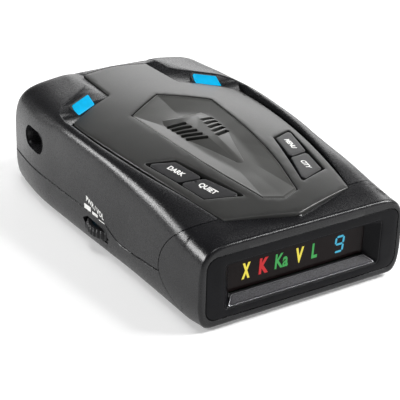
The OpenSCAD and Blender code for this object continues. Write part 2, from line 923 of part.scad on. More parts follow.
module main_board() {
    color([0.05, 0.3, 0.12])
        difference() {
            union() {
                translate([-21.8, -42.5, board_z])
                    cube([43.6, 92.5, board_t]);
                translate([-32, wheel_y - 5.5, board_z])
                    cube([12, 11, board_t]);
                translate([-29, riser_y - 7, board_z])
                    cube([9, 14, board_t]);
                for (s = [-1, 1])
                    translate([s * pipe_x - 2.5, pipe_y - 2.5, board_z])
                        cube([5, 5, board_t]);
            }
            at_board_screws()
                translate([0, 0, board_z - 1])
                    cylinder(r = screw_r + 0.15, h = 4);
        }
}
module screw(length) {
    cylinder(r = screw_head_r, h = screw_head_t);
    translate([0, 0, screw_head_t - eps])
        cylinder(r = screw_r - 0.16, h = length);
}
module board_screws() {
    color([0.7, 0.7, 0.72])
        at_board_screws()
            translate([0, 0, board_top + screw_head_t])
                rotate([180, 0, 0])
                    difference() {
                        screw(5.6);
                        translate([-1.4, -0.25, -eps]) cube([2.8, 0.5, 0.6]);
                        translate([-0.25, -1.4, -eps]) cube([0.5, 2.8, 0.6]);
                    }
}
module case_screws() {
    color([0.25, 0.25, 0.26])
        at_case_screws()
            translate([0, 0, 0.25])
                difference() {
                    screw(15);
                    translate([-1.4, -0.25, -eps]) cube([2.8, 0.5, 0.6]);
                    translate([-0.25, -1.4, -eps]) cube([0.5, 2.8, 0.6]);
                }
}
module processor_chip() {
    color([0.06, 0.06, 0.06])
        translate([-6, -36, board_top])
            cube([12, 12, 1.6]);
}
module capacitors() {
    color([0.2, 0.2, 0.5])
        for (p = [[-15, -28], [15, -28], [15, -20]])
            translate([p[0], p[1], board_top])
                cylinder(r = 3, h = 6);
}

// Upright board that carries the side socket.
riser_y = socket_y;
riser_x = -25.05;
module socket_board() {
    color([0.05, 0.3, 0.12])
        translate([riser_x, riser_y - 5.5, board_top])
            cube([1.2, 11, 12]);
}

// ---- Speaker ----------------------------------------------------------------------

speaker_y = -2;
speaker_top = 26;
speaker_r = 14;
ring_low_z = speaker_top + 0.55;
module speaker_ring() {
    intersection() {
        translate([0, speaker_y, ring_low_z])
            difference() {
                cylinder(r = speaker_r + 0.4, h = 6);
                translate([0, 0, -1]) cylinder(r = 12.4, h = 9);
            }
        panel_sheet(-12, 12 - seat_depth);
    }
}
module speaker_frame() {
    color([0.35, 0.35, 0.36])
        translate([0, speaker_y, 0])
            rotate_extrude($fn = 64)
                polygon([[6, 17.8], [8.4, 17.8], [12.2, speaker_top - 1], [speaker_r, speaker_top - 1],
                         [speaker_r, speaker_top], [11.6, speaker_top], [7.8, 18.6], [6, 18.6]]);
}
module speaker_cone() {
    color([0.1, 0.1, 0.1])
        translate([0, speaker_y, 0])
            rotate_extrude($fn = 64)
                polygon([[0, 20], [3.4, 19.4], [11.2, speaker_top - 0.7], [11.2, speaker_top - 0.2],
                         [3.2, 20], [0, 21]]);
}
module speaker_magnet() {
    color([0.6, 0.6, 0.62])
        translate([0, speaker_y, 13.4])
            cylinder(r = 7.6, h = 4.38);
}
module speaker_gasket() {
    color([0.08, 0.08, 0.08])
        translate([0, speaker_y, speaker_top + 0.02])
            difference() {
                cylinder(r = speaker_r, h = 0.5);
                translate([0, 0, -1])
                    cylinder(r = 11.8, h = 3);
            }
}

// ---- Radar and laser receivers ----------------------------------------------------

horn_x = -6;
horn_z = board_top;
horn_w = 27;
horn_h = 14;
horn_y = 25;
horn_len = 26;
module horn_antenna() {
    color([0.72, 0.72, 0.7])
        difference() {
            translate([horn_x - horn_w / 2, horn_y, horn_z])
                cube([horn_w, horn_len, horn_h]);
            loft([for (e = [[horn_y + 3, 5, 3], [horn_y + horn_len + eps, 12, 5.6]])
                [[horn_x + e[1], e[0], horn_z + 7 - e[2]], [horn_x - e[1], e[0], horn_z + 7 - e[2]],
                 [horn_x - e[1], e[0], horn_z + 7 + e[2]], [horn_x + e[1], e[0], horn_z + 7 + e[2]]]]);
        }
}
module mixer_can() {
    color([0.8, 0.8, 0.8])
        difference() {
            translate([-16, 18, board_top])
                cube([24, 6.8, 7.5]);
            translate([-15.4, 18.6, board_top - 1])
                cube([22.8, 5.6, 7.9]);
        }
}
module mixer_board() {
    color([0.9, 0.88, 0.8])
        translate([-15.2, 18.8, board_top])
            cube([22.4, 5.2, 0.8]);
}

laser_x = 16.5;
laser_z = 17;
laser_half_w = 5;
laser_half_h = 4;
module laser_window_box(grow) {
    translate([laser_x - laser_half_w - grow, 54.2 - grow, laser_z - laser_half_h - grow])
        cube([2 * laser_half_w + 2 * grow, 8, 2 * laser_half_h + 2 * grow]);
}
module laser_window() {
    color([0.12, 0.02, 0.03])
        resize([0, 0, 0])
            intersection() {
                case_outside();
                laser_window_box(0);
            }
}
module laser_lens() {
    color([0.85, 0.88, 0.9])
        translate([laser_x, 50.6, laser_z])
            rotate([-90, 0, 0])
                intersection() {
                    cylinder(r = 4, h = 3);
                    translate([0, 0, -6.4]) sphere(r = 9, $fn = 64);
                }
}
module laser_sensor() {
    color([0.1, 0.1, 0.12])
        translate([laser_x - 3, 42.5, board_top])
            cube([6, 5, laser_z + 3 - board_top]);
}

// ---- Bracket release --------------------------------------------------------------

module release_button() {
    color([0.15, 0.15, 0.155])
        resize([0, 0, 0])
            intersection() {
                case_outside();
                translate([button_inner_x, button_y - button_len / 2, button_low_z])
                    cube([20, button_len, button_high]);
            }
}
module latch_bar() {
    tooth_x = -slot_w / 2 - tooth_t;
    color([0.85, 0.85, 0.8]) {
        translate([tooth_x, latch_y - latch_bar_w / 2, latch_bar_z])
            cube([button_inner_x - tooth_x - 0.02, latch_bar_w, latch_bar_t]);
        translate([tooth_x, latch_y - latch_bar_w / 2, tooth_low_z])
            cube([tooth_t + tooth_reach, latch_bar_w, latch_bar_z - tooth_low_z + eps]);
    }
}

spring_r = 1.5;
spring_wire = 0.35;
spring_turns = 6;
spring_sides = 8;
spring_steps = 60;
spring_x0 = -slot_w / 2 - tooth_t - spring_wire / 2 - 0.05;
spring_x1 = spring_stop_x + spring_wire / 2 + 0.05;
spring_z = tooth_low_z + 2.4;
function spring_point(t, a) =
    let (turn = 360 * spring_turns * t, r = spring_r + spring_wire / 2 * cos(a))
    [mix(spring_x0, spring_x1, t) + spring_wire / 2 * sin(a), latch_y + r * cos(turn),
     spring_z + r * sin(turn)];
module latch_spring() {
    color([0.75, 0.75, 0.76])
        loft([for (i = [0 : spring_steps]) [for (k = [0 : spring_sides - 1])
            spring_point(i / spring_steps, -360 * k / spring_sides)]]);
}

// ---- What is drawn ----------------------------------------------------------------

lower_housing();
upper_housing();
front_collar();
top_panel();
speaker_grille();
display_bezel();
display_ledge();
display_lens();
display_module();
display_board();
display_ribbon();
alert_lens_left();
alert_lens_right();
alert_leds();
dim_key();
mute_key();
menu_key();
city_key();
key_mat_left();
key_mat_right();
key_board_left();
key_board_right();
volume_wheel();
volume_shaft();
volume_pot();
socket_shell();
socket_tongue();
socket_contacts();
socket_board();
main_board();
board_screws();
processor_chip();
capacitors();
speaker_frame();
speaker_cone();
speaker_magnet();
speaker_gasket();
horn_antenna();
mixer_can();
mixer_board();
laser_window();
laser_lens();
laser_sensor();
release_button();
latch_bar();
latch_spring();
case_screws();
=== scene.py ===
# Looks of the dashboard radar detector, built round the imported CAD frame.
# Shapes are worked out in millimetres and scaled to metres where a mesh is made.
import math

import bmesh
import bpy
import numpy as np
from mathutils import Matrix, Vector
from mathutils.geometry import delaunay_2d_cdt


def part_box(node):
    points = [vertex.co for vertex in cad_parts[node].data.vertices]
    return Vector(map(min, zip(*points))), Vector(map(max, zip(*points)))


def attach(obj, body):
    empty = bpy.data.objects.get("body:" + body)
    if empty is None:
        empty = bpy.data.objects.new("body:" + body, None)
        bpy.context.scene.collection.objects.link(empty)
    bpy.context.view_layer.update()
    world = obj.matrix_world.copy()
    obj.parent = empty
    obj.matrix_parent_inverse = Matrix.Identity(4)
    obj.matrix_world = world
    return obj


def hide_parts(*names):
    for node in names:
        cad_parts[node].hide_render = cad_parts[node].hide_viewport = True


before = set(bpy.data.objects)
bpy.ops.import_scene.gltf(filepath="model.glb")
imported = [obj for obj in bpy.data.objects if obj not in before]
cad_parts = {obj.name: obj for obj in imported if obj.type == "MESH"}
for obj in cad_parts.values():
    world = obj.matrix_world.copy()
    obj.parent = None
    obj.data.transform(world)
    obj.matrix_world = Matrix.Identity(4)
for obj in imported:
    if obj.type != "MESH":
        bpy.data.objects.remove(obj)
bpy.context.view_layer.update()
MM = 0.001

# ---- Materials --------------------------------------------------------------------


def link(tree, a, out, b, into):
    tree.links.new(a.outputs[out], b.inputs[into])


def node(tree, kind, **values):
    n = tree.nodes.new(kind)
    for key, value in values.items():
        setattr(n, key, value)
    return n


def base_material(name, color, rough, metallic=0.0, coat=0.0, spec=0.5):
    mat = bpy.data.materials.new(name)
    mat.use_nodes = True
    tree = mat.node_tree
    shader = tree.nodes["Principled BSDF"]
    shader.inputs["Base Color"].default_value = (*color, 1)
    shader.inputs["Roughness"].default_value = rough
    shader.inputs["Metallic"].default_value = metallic
    shader.inputs["Coat Weight"].default_value = coat
    shader.inputs["Coat Roughness"].default_value = 0.15
    shader.inputs["Specular IOR Level"].default_value = spec
    return mat, tree, shader


def noise(tree, where, size, detail=2.0, rough=0.5):
    """Noise over object space, with features of about size millimetres."""
    n = node(tree, "ShaderNodeTexNoise")
    n.inputs["Scale"].default_value = 1 / (size * MM)
    n.inputs["Detail"].default_value = detail
    n.inputs["Roughness"].default_value = rough
    link(tree, where, "Object", n, "Vector")
    return n


def ramp(tree, source, out, *stops):
    """Colour ramp through the given (position, colour) stops."""
    n = node(tree, "ShaderNodeValToRGB")
    while len(n.color_ramp.elements) < len(stops):
        n.color_ramp.elements.new(0.5)
    for element, (at, color) in zip(n.color_ramp.elements, stops):
        element.position = at
        element.color = (*color, 1)
    link(tree, source, out, n, "Fac")
    return n


def map_range(tree, source, out, *limits, **values):
    """Maps a value from the first two limits to the last two."""
    n = node(tree, "ShaderNodeMapRange", **values)
    for key, value in zip(("From Min", "From Max", "To Min", "To Max"), limits):
        n.inputs[key].default_value = value
    link(tree, source, out, n, "Value")
    return n


def textured(name, color, rough, grain=0.35, bump=0.12, vary=0.12, cloud=9.0, deep=0.05, **more):
    """Moulded surface: fine grain in the bump, faint broad drift in colour and gloss."""
    mat, tree, shader = base_material(name, color, rough, **more)
    where = node(tree, "ShaderNodeTexCoord")
    fine = noise(tree, where, grain, 3, 0.6)
    lift = node(tree, "ShaderNodeBump")
    lift.inputs["Strength"].default_value = bump
    lift.inputs["Distance"].default_value = deep * MM
    link(tree, fine, "Fac", lift, "Height")
    link(tree, lift, "Normal", shader, "Normal")
    low = [c * (1 - vary) for c in color]
    high = [min(c * (1 + vary) + 0.002, 1) for c in color]
    tint = ramp(tree, noise(tree, where, cloud), "Fac", (0.3, low), (0.7, high))
    link(tree, tint, "Color", shader, "Base Color")
    gloss = map_range(tree, fine, "Fac", 0.25, 0.75, max(rough - 0.05, 0.02), min(rough + 0.05, 1))
    link(tree, gloss, "Result", shader, "Roughness")
    return mat


def glowing(name, color, strength, edge=0.75):
    """A lit plastic face with a slightly uneven glow."""
    mat, tree, shader = base_material(name, [c * 0.04 for c in color], 0.35, spec=0.1)
    where = node(tree, "ShaderNodeTexCoord")
    dim = [c * edge for c in color]
    tint = ramp(tree, noise(tree, where, 4), "Fac", (0.25, dim), (0.6, color))
    link(tree, tint, "Color", shader, "Emission Color")
    shader.inputs["Emission Strength"].default_value = strength
    return mat


M = {
    "case": textured("case_plastic", (0.010, 0.010, 0.011), 0.28, grain=0.45, bump=0.8,
                     deep=0.045, spec=0.28),
    "panel": textured("panel_plastic", (0.017, 0.017, 0.016), 0.36, grain=0.22, bump=0.16),
    "grille": textured("grille_plastic", (0.036, 0.036, 0.034), 0.38, grain=0.22, bump=0.14),
    "collar": textured("collar_plastic", (0.006, 0.006, 0.007), 0.26, grain=0.4, bump=0.6,
                       deep=0.035, spec=0.28),
    "bezel": textured("bezel_plastic", (0.004, 0.004, 0.005), 0.3, grain=0.3, bump=0.25, spec=0.08),
    "ledge": textured("ledge_plastic", (0.012, 0.011, 0.015), 0.34, grain=0.3, bump=0.8,
                      vary=0.9, cloud=0.35, spec=0.12),
    # Light metallic grey for the sill's rim: a painted highlight along its edges.
    "polished": textured("sill_rim_painted_highlight", (0.17, 0.17, 0.18), 0.22, grain=0.8, bump=0.05, metallic=0.6),
    "lens": textured("smoked_lens", (0.008, 0.005, 0.005), 0.2, grain=1.5, bump=0.02, spec=0.08),
    "key": textured("key_plastic", (0.013, 0.013, 0.014), 0.42, grain=0.2, bump=0.2, spec=0.4),
    "wheel": textured("wheel_plastic", (0.012, 0.012, 0.013), 0.4, grain=0.25, bump=0.2, spec=0.3),
    # Black of the alert lights' beds, darker than the case: partly their own colour, partly painted
    # shade of the pockets round the lights.
    "dark": textured("bed_black_and_painted_shade", (0.006, 0.006, 0.006), 0.6, grain=0.4, bump=0.2),
    "print": textured("white_print", (0.78, 0.78, 0.76), 0.5, grain=0.12, bump=0.1, vary=0.04,
                      cloud=0.8),
    "rubber": textured("mat_rubber", (0.06, 0.06, 0.065), 0.7, grain=0.4, bump=0.3),
    "board": textured("circuit_board", (0.012, 0.085, 0.03), 0.35, grain=0.8, bump=0.15,
                      vary=0.3, cloud=2.5),
    "steel": textured("plated_steel", (0.62, 0.62, 0.63), 0.28, grain=0.4, bump=0.08, metallic=1.0),
    "gold": textured("contact_gold", (0.8, 0.56, 0.2), 0.25, grain=0.3, bump=0.05, metallic=1.0),
    "cast": textured("cast_metal", (0.55, 0.55, 0.53), 0.45, grain=0.6, bump=0.3, metallic=1.0),
    "chip": textured("chip_black", (0.012, 0.012, 0.012), 0.5, grain=0.3, bump=0.25),
    "sleeve": textured("sleeve_blue", (0.02, 0.025, 0.12), 0.3, grain=0.6, bump=0.05),
    "paper": textured("cone_paper", (0.02, 0.02, 0.02), 0.8, grain=0.5, bump=0.6, cloud=1.5, vary=0.3),
    "foam": textured("foam_black", (0.015, 0.015, 0.015), 0.9, grain=0.6, bump=0.8),
    "window": textured("laser_window", (0.02, 0.002, 0.003), 0.1, grain=2, bump=0.02, coat=0.6),
    "optic": textured("clear_optic", (0.7, 0.75, 0.8), 0.08, grain=2, bump=0.01, coat=0.4),
    "led": textured("led_white", (0.8, 0.8, 0.75), 0.3, grain=1, bump=0.03),
    "black_steel": textured("black_steel", (0.015, 0.015, 0.017), 0.35, grain=0.3, bump=0.1,
                            metallic=0.6),
    "magnet": textured("ferrite", (0.03, 0.03, 0.032), 0.6, grain=0.4, bump=0.4),
    "tin": textured("shield_tin", (0.55, 0.56, 0.56), 0.35, grain=0.5, bump=0.1, metallic=1.0),
    "alert": glowing("alert_blue", (0.0, 0.50, 0.90), 1.0),
    "yellow": glowing("lit_yellow", (0.93, 0.79, 0.10), 0.9, 0.9),
    "red": glowing("lit_red", (0.62, 0.035, 0.04), 0.9, 0.9),
    "green": glowing("lit_green", (0.07, 0.42, 0.11), 0.9, 0.9),
    "cyan": glowing("lit_cyan", (0.08, 0.48, 0.70), 0.9, 0.85),
}

# ---- Mesh helpers -----------------------------------------------------------------


def placed(name, data):
    """A new object in the scene."""
    obj = bpy.data.objects.new(name, data)
    bpy.context.collection.objects.link(obj)
    return obj


def evaluated(obj):
    """Mesh of obj as its modifiers or its text make it."""
    graph = bpy.context.evaluated_depsgraph_get()
    return bpy.data.meshes.new_from_object(obj.evaluated_get(graph))


def apply_modifiers(obj):
    mesh = evaluated(obj)
    obj.modifiers.clear()
    obj.data = mesh


def finish_mesh(obj, sharp=38.0):
    """Smooth shading, with edges steeper than sharp kept crisp."""
    mesh = obj.data
    bm = bmesh.new()
    bm.from_mesh(mesh)
    bmesh.ops.remove_doubles(bm, verts=bm.verts, dist=0.0015 * MM)
    bmesh.ops.dissolve_degenerate(bm, edges=bm.edges, dist=0.0005 * MM)
    bmesh.ops.recalc_face_normals(bm, faces=bm.faces)
    limit = math.radians(sharp)
    for edge in bm.edges:
        edge.smooth = len(edge.link_faces) != 2 or edge.calc_face_angle(0) < limit
    for face in bm.faces:
        face.smooth = True
    bm.to_mesh(mesh)
    bm.free()


def make(name, verts, faces, mat, body="case", replaces=(), slot=None, sharp=38.0, keep=True):
    mesh = bpy.data.meshes.new(name)
    mesh.from_pydata([tuple(p) for p in np.asarray(verts, float) * MM], [],
                     [tuple(int(i) for i in f) for f in faces])
    obj = placed(name, mesh)
    finish_mesh(obj, sharp)
    if keep:
        dress(obj, mat, body, replaces)
    return obj


def dress(obj, mat, body="case", replaces=()):
    obj.data.materials.clear()
    obj.data.materials.append(M[mat])
    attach(obj, body)
    if replaces:
        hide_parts(*replaces)


def cut(obj, cutters, sharp=38.0):
    """Takes each cutter away from obj, and removes it."""
    for tool in cutters:
        mod = obj.modifiers.new("cut", "BOOLEAN")
        mod.operation = "DIFFERENCE"
        mod.solver = "EXACT"
        mod.object = tool
        apply_modifiers(obj)
        bpy.data.objects.remove(tool)
    finish_mesh(obj, sharp)


def grid_faces(rows, cols, close_rows=False, close_cols=False):
    faces = []
    for i in range(rows if close_rows else rows - 1):
        for j in range(cols if close_cols else cols - 1):
            i1, j1 = (i + 1) % rows, (j + 1) % cols
            faces.append((i * cols + j, i1 * cols + j, i1 * cols + j1, i * cols + j1))
    return faces


def rounded(points, radii, steps=6):
    """Polygon with each corner turned into an arc of its radius."""
    pts = np.asarray(points, float)
    n = len(pts)
    radii = [radii] * n if np.isscalar(radii) else radii
    out = []
    for i in range(n):
        p, a, b = pts[i], pts[i - 1], pts[(i + 1) % n]
        if radii[i] <= 0:
            out.append(p)
            continue
        u, v = (a - p) / np.linalg.norm(a - p), (b - p) / np.linalg.norm(b - p)
        angle = math.acos(np.clip(u @ v, -1, 1))
        if angle > math.radians(176):
            out.append(p)
            continue
        d = min(radii[i] / math.tan(angle / 2), 0.45 * np.linalg.norm(a - p),
                0.45 * np.linalg.norm(b - p))
        r = d * math.tan(angle / 2)
        c = p + (u + v) / np.linalg.norm(u + v) * r / math.sin(angle / 2)
        s, e = p + u * d - c, p + v * d - c
        turn = math.atan2(s[0] * e[1] - s[1] * e[0], s @ e)
        for k in range(steps + 1):
            w = turn * k / steps
            out.append(c + [s[0] * math.cos(w) - s[1] * math.sin(w),
                            s[0] * math.sin(w) + s[1] * math.cos(w)])
    return np.array(out)


def rect_ring(hx, lo, hi, r, steps=8):
    """Round-cornered rectangle from -hx to hx and from lo to hi."""
    return rounded([[-hx, lo], [hx, lo], [hx, hi], [-hx, hi]], r, steps)


def resampled(loop, step):
    """The closed loop with no side longer than step."""
    out = []
    for i in range(len(loop)):
        a, b = loop[i], loop[(i + 1) % len(loop)]
        parts = max(int(math.ceil(np.linalg.norm(b - a) / step)), 1)
        out += [a + (b - a) * k / parts for k in range(parts)]
    return np.array(out)


def area_of(loop):
    x, y = loop[:, 0], loop[:, 1]
    return 0.5 * np.sum(x * np.roll(y, -1) - y * np.roll(x, -1))


def inside(points, loop):
    x, y = points[:, 0], points[:, 1]
    a, b = loop, np.roll(loop, -1, axis=0)
    hit = np.zeros(len(points), bool)
    for (x0, y0), (x1, y1) in zip(a, b):
        if y0 == y1:
            continue
        crosses = (y0 > y) != (y1 > y)
        hit ^= crosses & (x < (x1 - x0) * (y - y0) / (y1 - y0) + x0)
    return hit


def inward(loop):
    """Unit vectors at each point towards the left of the loop's direction."""
    e = np.roll(loop, -1, axis=0) - loop
    e /= np.maximum(np.linalg.norm(e, axis=1), 1e-9)[:, None]
    n = np.stack([-e[:, 1], e[:, 0]], axis=1)
    m = n + np.roll(n, 1, axis=0)
    m /= np.maximum(np.linalg.norm(m, axis=1), 1e-9)[:, None]
    scale = 1 / np.clip(np.sum(m * n, axis=1), 0.5, 1)
    return m * scale[:, None]


def unslivered(xy, tris):
    """The same triangles, with each thin one's longest side turned to run across it."""
    tris = [list(t) for t in tris]
    for _ in range(4):
        owners = {}
        for k, t in enumerate(tris):
            for i in range(3):
                owners.setdefault(frozenset((t[i], t[i - 1])), []).append(k)
        turned = set()
        for k, t in enumerate(tris):
            p = xy[t]
            side = np.linalg.norm(np.roll(p, -1, axis=0) - p, axis=1)
            u, v = p[1] - p[0], p[2] - p[0]
            if abs(u[0] * v[1] - u[1] * v[0]) > 0.03 * side.max() ** 2 or k in turned:
                continue
            i = int(side.argmax())
            a, c, b = t[i], t[(i + 1) % 3], t[(i + 2) % 3]
            pair = [o for o in owners[frozenset((a, c))] if o != k]
            if len(pair) != 1 or pair[0] in turned:
                continue
            d = next(q for q in tris[pair[0]] if q not in (a, c))
            # Both new triangles have to be larger than the thin one.
            if min(area_of(xy[[a, d, b]]), area_of(xy[[d, c, b]])) <= area_of(p):
                continue
            tris[k], tris[pair[0]] = [a, d, b], [d, c, b]
            turned |= {k, pair[0]}
        if not turned:
            break
    return tris


def level(z):
    """A flat surface at height z."""
    return lambda x, y: np.full(np.shape(x), float(z))


def plate(outer, holes, top, depth, edge_r, step=0.8, grid=1.5, low=None, hole_r=None):
    """Closed sheet between a plan outline and its holes. top(x, y) is the upper surface, and
    low(x, y) the lower one, or depth below it. Edges are rounded by edge_r."""
    low = low or (lambda x, y: top(x, y) - depth)
    loops = []
    for k, loop in enumerate([outer] + list(holes)):
        loop = resampled(np.asarray(loop, float), step)
        if (area_of(loop) > 0) != (k == 0):
            loop = loop[::-1]
        loops.append(loop)
    radii = [edge_r] + [edge_r if hole_r is None else hole_r] * len(holes)
    inner = [loop + inward(loop) * r for loop, r in zip(loops, radii)]
    verts, faces = [], []

    def fill(rims, height, flip, use_grid):
        pts = [tuple(p) for rim in rims for p in rim]
        edges, start = [], 0
        for rim in rims:
            n = len(rim)
            edges += [(start + i, start + (i + 1) % n) for i in range(n)]
            start += n
        if use_grid:
            lo, hi = rims[0].min(axis=0), rims[0].max(axis=0)
            gx, gy = np.meshgrid(np.arange(lo[0], hi[0], grid), np.arange(lo[1], hi[1], grid))
            cand = np.stack([gx.ravel() + 0.37 * grid, gy.ravel() + 0.41 * grid], axis=1)
            ok = inside(cand, rims[0])
            for rim in rims[1:]:
                ok &= ~inside(cand, rim)
            cand = cand[ok]
            every = np.concatenate(rims)
            near = [np.min(np.sum((every - c) ** 2, axis=1)) for c in cand]
            pts += [tuple(c) for c, d in zip(cand, near) if d > (0.35 * grid) ** 2]
        out = delaunay_2d_cdt([Vector(p) for p in pts], edges, [], 0, 1e-6)
        xy = np.array([tuple(v) for v in out[0]])
        tri = np.array([f for f in out[2] if len(f) == 3])
        mid = xy[tri].mean(axis=1)
        ok = inside(mid, rims[0])
        for rim in rims[1:]:
            ok &= ~inside(mid, rim)
        base = len(verts)
        z = height(xy[:, 0], xy[:, 1])
        verts.extend(np.column_stack([xy, z]))
        for t in unslivered(xy, tri[ok]):
            faces.append([base + i for i in (t[::-1] if flip else t)])

    fill(inner, top, False, True)
    fill(loops, low, True, False)
    for loop, rim, r in zip(loops, inner, radii):
        n = len(loop)
        rows = []
        for k in range(5):
            a = math.pi / 2 * k / 4
            p = rim + (loop - rim) * math.sin(a)
            rows.append(np.column_stack([p, top(p[:, 0], p[:, 1]) - r * (1 - math.cos(a))]))
        rows.append(np.column_stack([loop, low(loop[:, 0], loop[:, 1])]))
        base = len(verts)
        verts.extend(np.concatenate(rows))
        for i in range(len(rows) - 1):
            for j in range(n):
                j1 = (j + 1) % n
                faces.append((base + i * n + j, base + (i + 1) * n + j,
                              base + (i + 1) * n + j1, base + i * n + j1))
    return np.array(verts), faces


def prism(outline, low, high):
    """Straight prism on a plan outline, for cutting."""
    loop = np.asarray(outline, float)
    n = len(loop)
    verts = np.concatenate([np.column_stack([loop, np.full(n, low)]),
                            np.column_stack([loop, np.full(n, high)])])
    faces = [tuple(range(n)), tuple(range(2 * n - 1, n - 1, -1))]
    faces += [(i, (i + 1) % n, n + (i + 1) % n, n + i) for i in range(n)]
    return verts, faces


def moved(verts, matrix):
    """The points carried by a frame."""
    m = np.array(matrix)
    return np.asarray(verts) @ m[:3, :3].T + m[:3, 3]


def block(lo, hi):
    """Box between two corners."""
    return prism([[lo[0], lo[1]], [hi[0], lo[1]], [hi[0], hi[1]], [lo[0], hi[1]]], lo[2], hi[2])


def circle(r, n=48, centre=(0, 0)):
    a = np.arange(n) * 2 * math.pi / n
    return np.column_stack([centre[0] + r * np.cos(a), centre[1] + r * np.sin(a)])


def cutter(verts, faces):
    return make("cutter", verts, faces, None, keep=False)


def axes(u, v, n, at=(0, 0, 0)):
    """Frame with axes u, v and n at a place."""
    return Matrix([*zip(u, v, n, at), (0, 0, 0, 1)])


# Stands a plan up to face the driver, with its height towards -Y.
FACE = axes((1, 0, 0), (0, 0, 1), (0, -1, 0))

# ---- Form of the case -------------------------------------------------------------

FRONT, REAR = -57.6, 58.6
WALL, SEAM = 1.8, 0.3
WIDEST = 11.0       # height at which the case is widest
EDGE = 0.9          # radius of the front rim
SEAT = 2.6          # depth of the panel's seat below its top
GROOVE_END = 18.0   # behind this the groove beside the panel turns into a slope
ROUND_Y, ROUND_N = 47.0, 2.4    # where the rear end starts to round off, and how squarely
COLLAR_Y = -49.0    # rearmost line of the collar on top and underneath
TAIL_Y, TAIL_X = 49.35, 12.1    # end of the panel's tail, and the column beside it
SQUEEZE = (REAR - WALL) / REAR  # scales Y from the case's outside to its inside
BREAK = 0.15        # how far the shells' edges at the parting line are broken


def table(y, *points):
    xs, vs = zip(*points)
    return np.interp(y, xs, vs)


def eased(y, *points):
    """The table's value with its corners rounded over a few millimetres."""
    return float(np.mean(table(y + np.linspace(-5, 5, 11), *points)))


def clamp(v, low=0.0, high=1.0):
    return np.clip(v, low, high)


def round_off(t, n):
    return np.maximum(1 - clamp(t) ** n, 0) ** (1 / n)


def panel_z(x, y):
    crown = 3.5 + (1.8 - 3.5) * clamp((22 - y) / 70)
    return 33.4 - 0.00115 * np.minimum(y - 25, 0) ** 2 - crown * (x / 29) ** 2


def panel_edge(y):
    return 29.4 - 8.8 * clamp((15 - y) / 63.2) ** 1.75


def shoulder_edge(y):
    return panel_edge(y) + 0.25 + 1.75 * (1 - clamp((15 - y) / 63.2) ** 2.2)


def section(y, inset=0.0):
    """Widths and heights that shape the case's cross-section at y."""
    waist = eased(y, (FRONT, -1.5), (-37, -1.45), (-20, -1.25), (-8, -0.7), (9, 0.1), (24, 0.7),
                  (31, 1), (39, 0.6), (46, -0.2), (54, -1.3), (60, -2))
    rim = EDGE - math.sqrt(max(EDGE ** 2 - max(FRONT + EDGE - y, 0) ** 2, 0))
    w = 35.2 + waist - 0.00005 * (y + 10) ** 2 - rim - inset
    top = eased(y, (FRONT, 24.5), (-48.2, 26.1), (-35, 28.4), (-8, 30.3), (20, 31.4), (32, 33),
                (40, 33.6), (58, 33.6)) - rim - inset
    flat = min(eased(y, (-48.2, 20.8), (-30, 24.4), (-8, 29.6), (20, 31), (32, 22), (42, 17)), w - 2)
    return {
        "w": w, "top": top, "flat": flat,
        "low": clamp((-50 - y) / 6) + rim + inset,
        "n": table(y, (-20, 3.8), (20, 4), (42, 5)),
        "fall": table(y, (10, 0), (42, 2.2)),
        "f": round_off((y - 50.5) / (REAR - 50.5), 2.5),
        "up": round_off((y - ROUND_Y) / (REAR - ROUND_Y), ROUND_N),
        "down": round_off((y - ROUND_Y) / (REAR - ROUND_Y), 2.6),
    }


def end_z(z, s):
    return 13 + (z - 13) * np.where(z > 13, s["up"], s["down"])


def case_top(x, s):
    """Height of the case's outside over x, from the centre to its widest point."""
    x = np.abs(x) / max(s["f"], 1e-4)
    out = clamp((x - s["flat"]) / (s["w"] - s["flat"]))
    up = (1 - out ** s["n"]) ** (1 / s["n"])
    return end_z(WIDEST + (s["top"] - WIDEST - s["fall"] * out) * up, s)


def half_outline(s, steps=90):
    """Right half of the section, from the shoulder's start round to the base's centre."""
    a = np.linspace(0, math.pi / 2, steps)
    out, up = np.sin(a) ** (2 / s["n"]), np.maximum(np.cos(a), 0) ** (2 / s["n"])
    x1 = (s["flat"] + (s["w"] - s["flat"]) * out) * s["f"]
    z1 = end_z(WIDEST + (s["top"] - WIDEST - s["fall"] * out) * up, s)
    b = a[1:]
    x2 = (s["w"] - 4 + 4 * np.maximum(np.cos(b), 0) ** (2 / 2.8)) * s["f"]
    z2 = end_z(WIDEST - (WIDEST - s["low"]) * np.sin(b) ** (2 / 2.8), s)
    x3 = np.linspace(x2[-1], 0, 24)[1:]
    z3 = np.full(len(x3), z2[-1])
    x0 = np.linspace(0, x1[0], 24)[:-1]
    z0 = np.full(len(x0), z1[0])
    return np.column_stack([np.concatenate([x0, x1, x2, x3]), np.concatenate([z0, z1, z2, z3])])


def lengths(line):
    """Length along line at each of its points."""
    return np.concatenate([[0], np.cumsum(np.linalg.norm(np.diff(line, axis=0), axis=1))])


def along(line, start, end, marks):
    """Points at the fractions marks of the way along line between two of its lengths."""
    d = lengths(line)
    at = start + (end - start) * np.asarray(marks)
    return np.column_stack([np.interp(at, d, line[:, 0]), np.interp(at, d, line[:, 1])])


def length_where(line, test_low, test_high, value, col):
    """Length along line at which column col first passes value within an index range."""
    d = lengths(line)
    part = line[test_low:test_high, col]
    low = np.nonzero(np.diff(np.sign(part - value)))[0]
    if len(low) == 0:
        return d[test_low] if abs(part[0] - value) < abs(part[-1] - value) else d[test_high - 1]
    i = test_low + low[0]
    span = line[i + 1, col] - line[i, col]
    t = 0 if span == 0 else (value - line[i, col]) / span
    return d[i] + t * (d[i + 1] - d[i])


# Points in a half outline's top, side and belly.
TOP_N, SIDE_N, BELLY_N = 23, 90, 89


def seam_length(line, z):
    """Length along a half outline down to height z."""
    if z < WIDEST:
        return length_where(line, TOP_N + SIDE_N - 1, TOP_N + SIDE_N + BELLY_N, z, 1)
    return length_where(line, TOP_N, TOP_N + SIDE_N, z, 1)


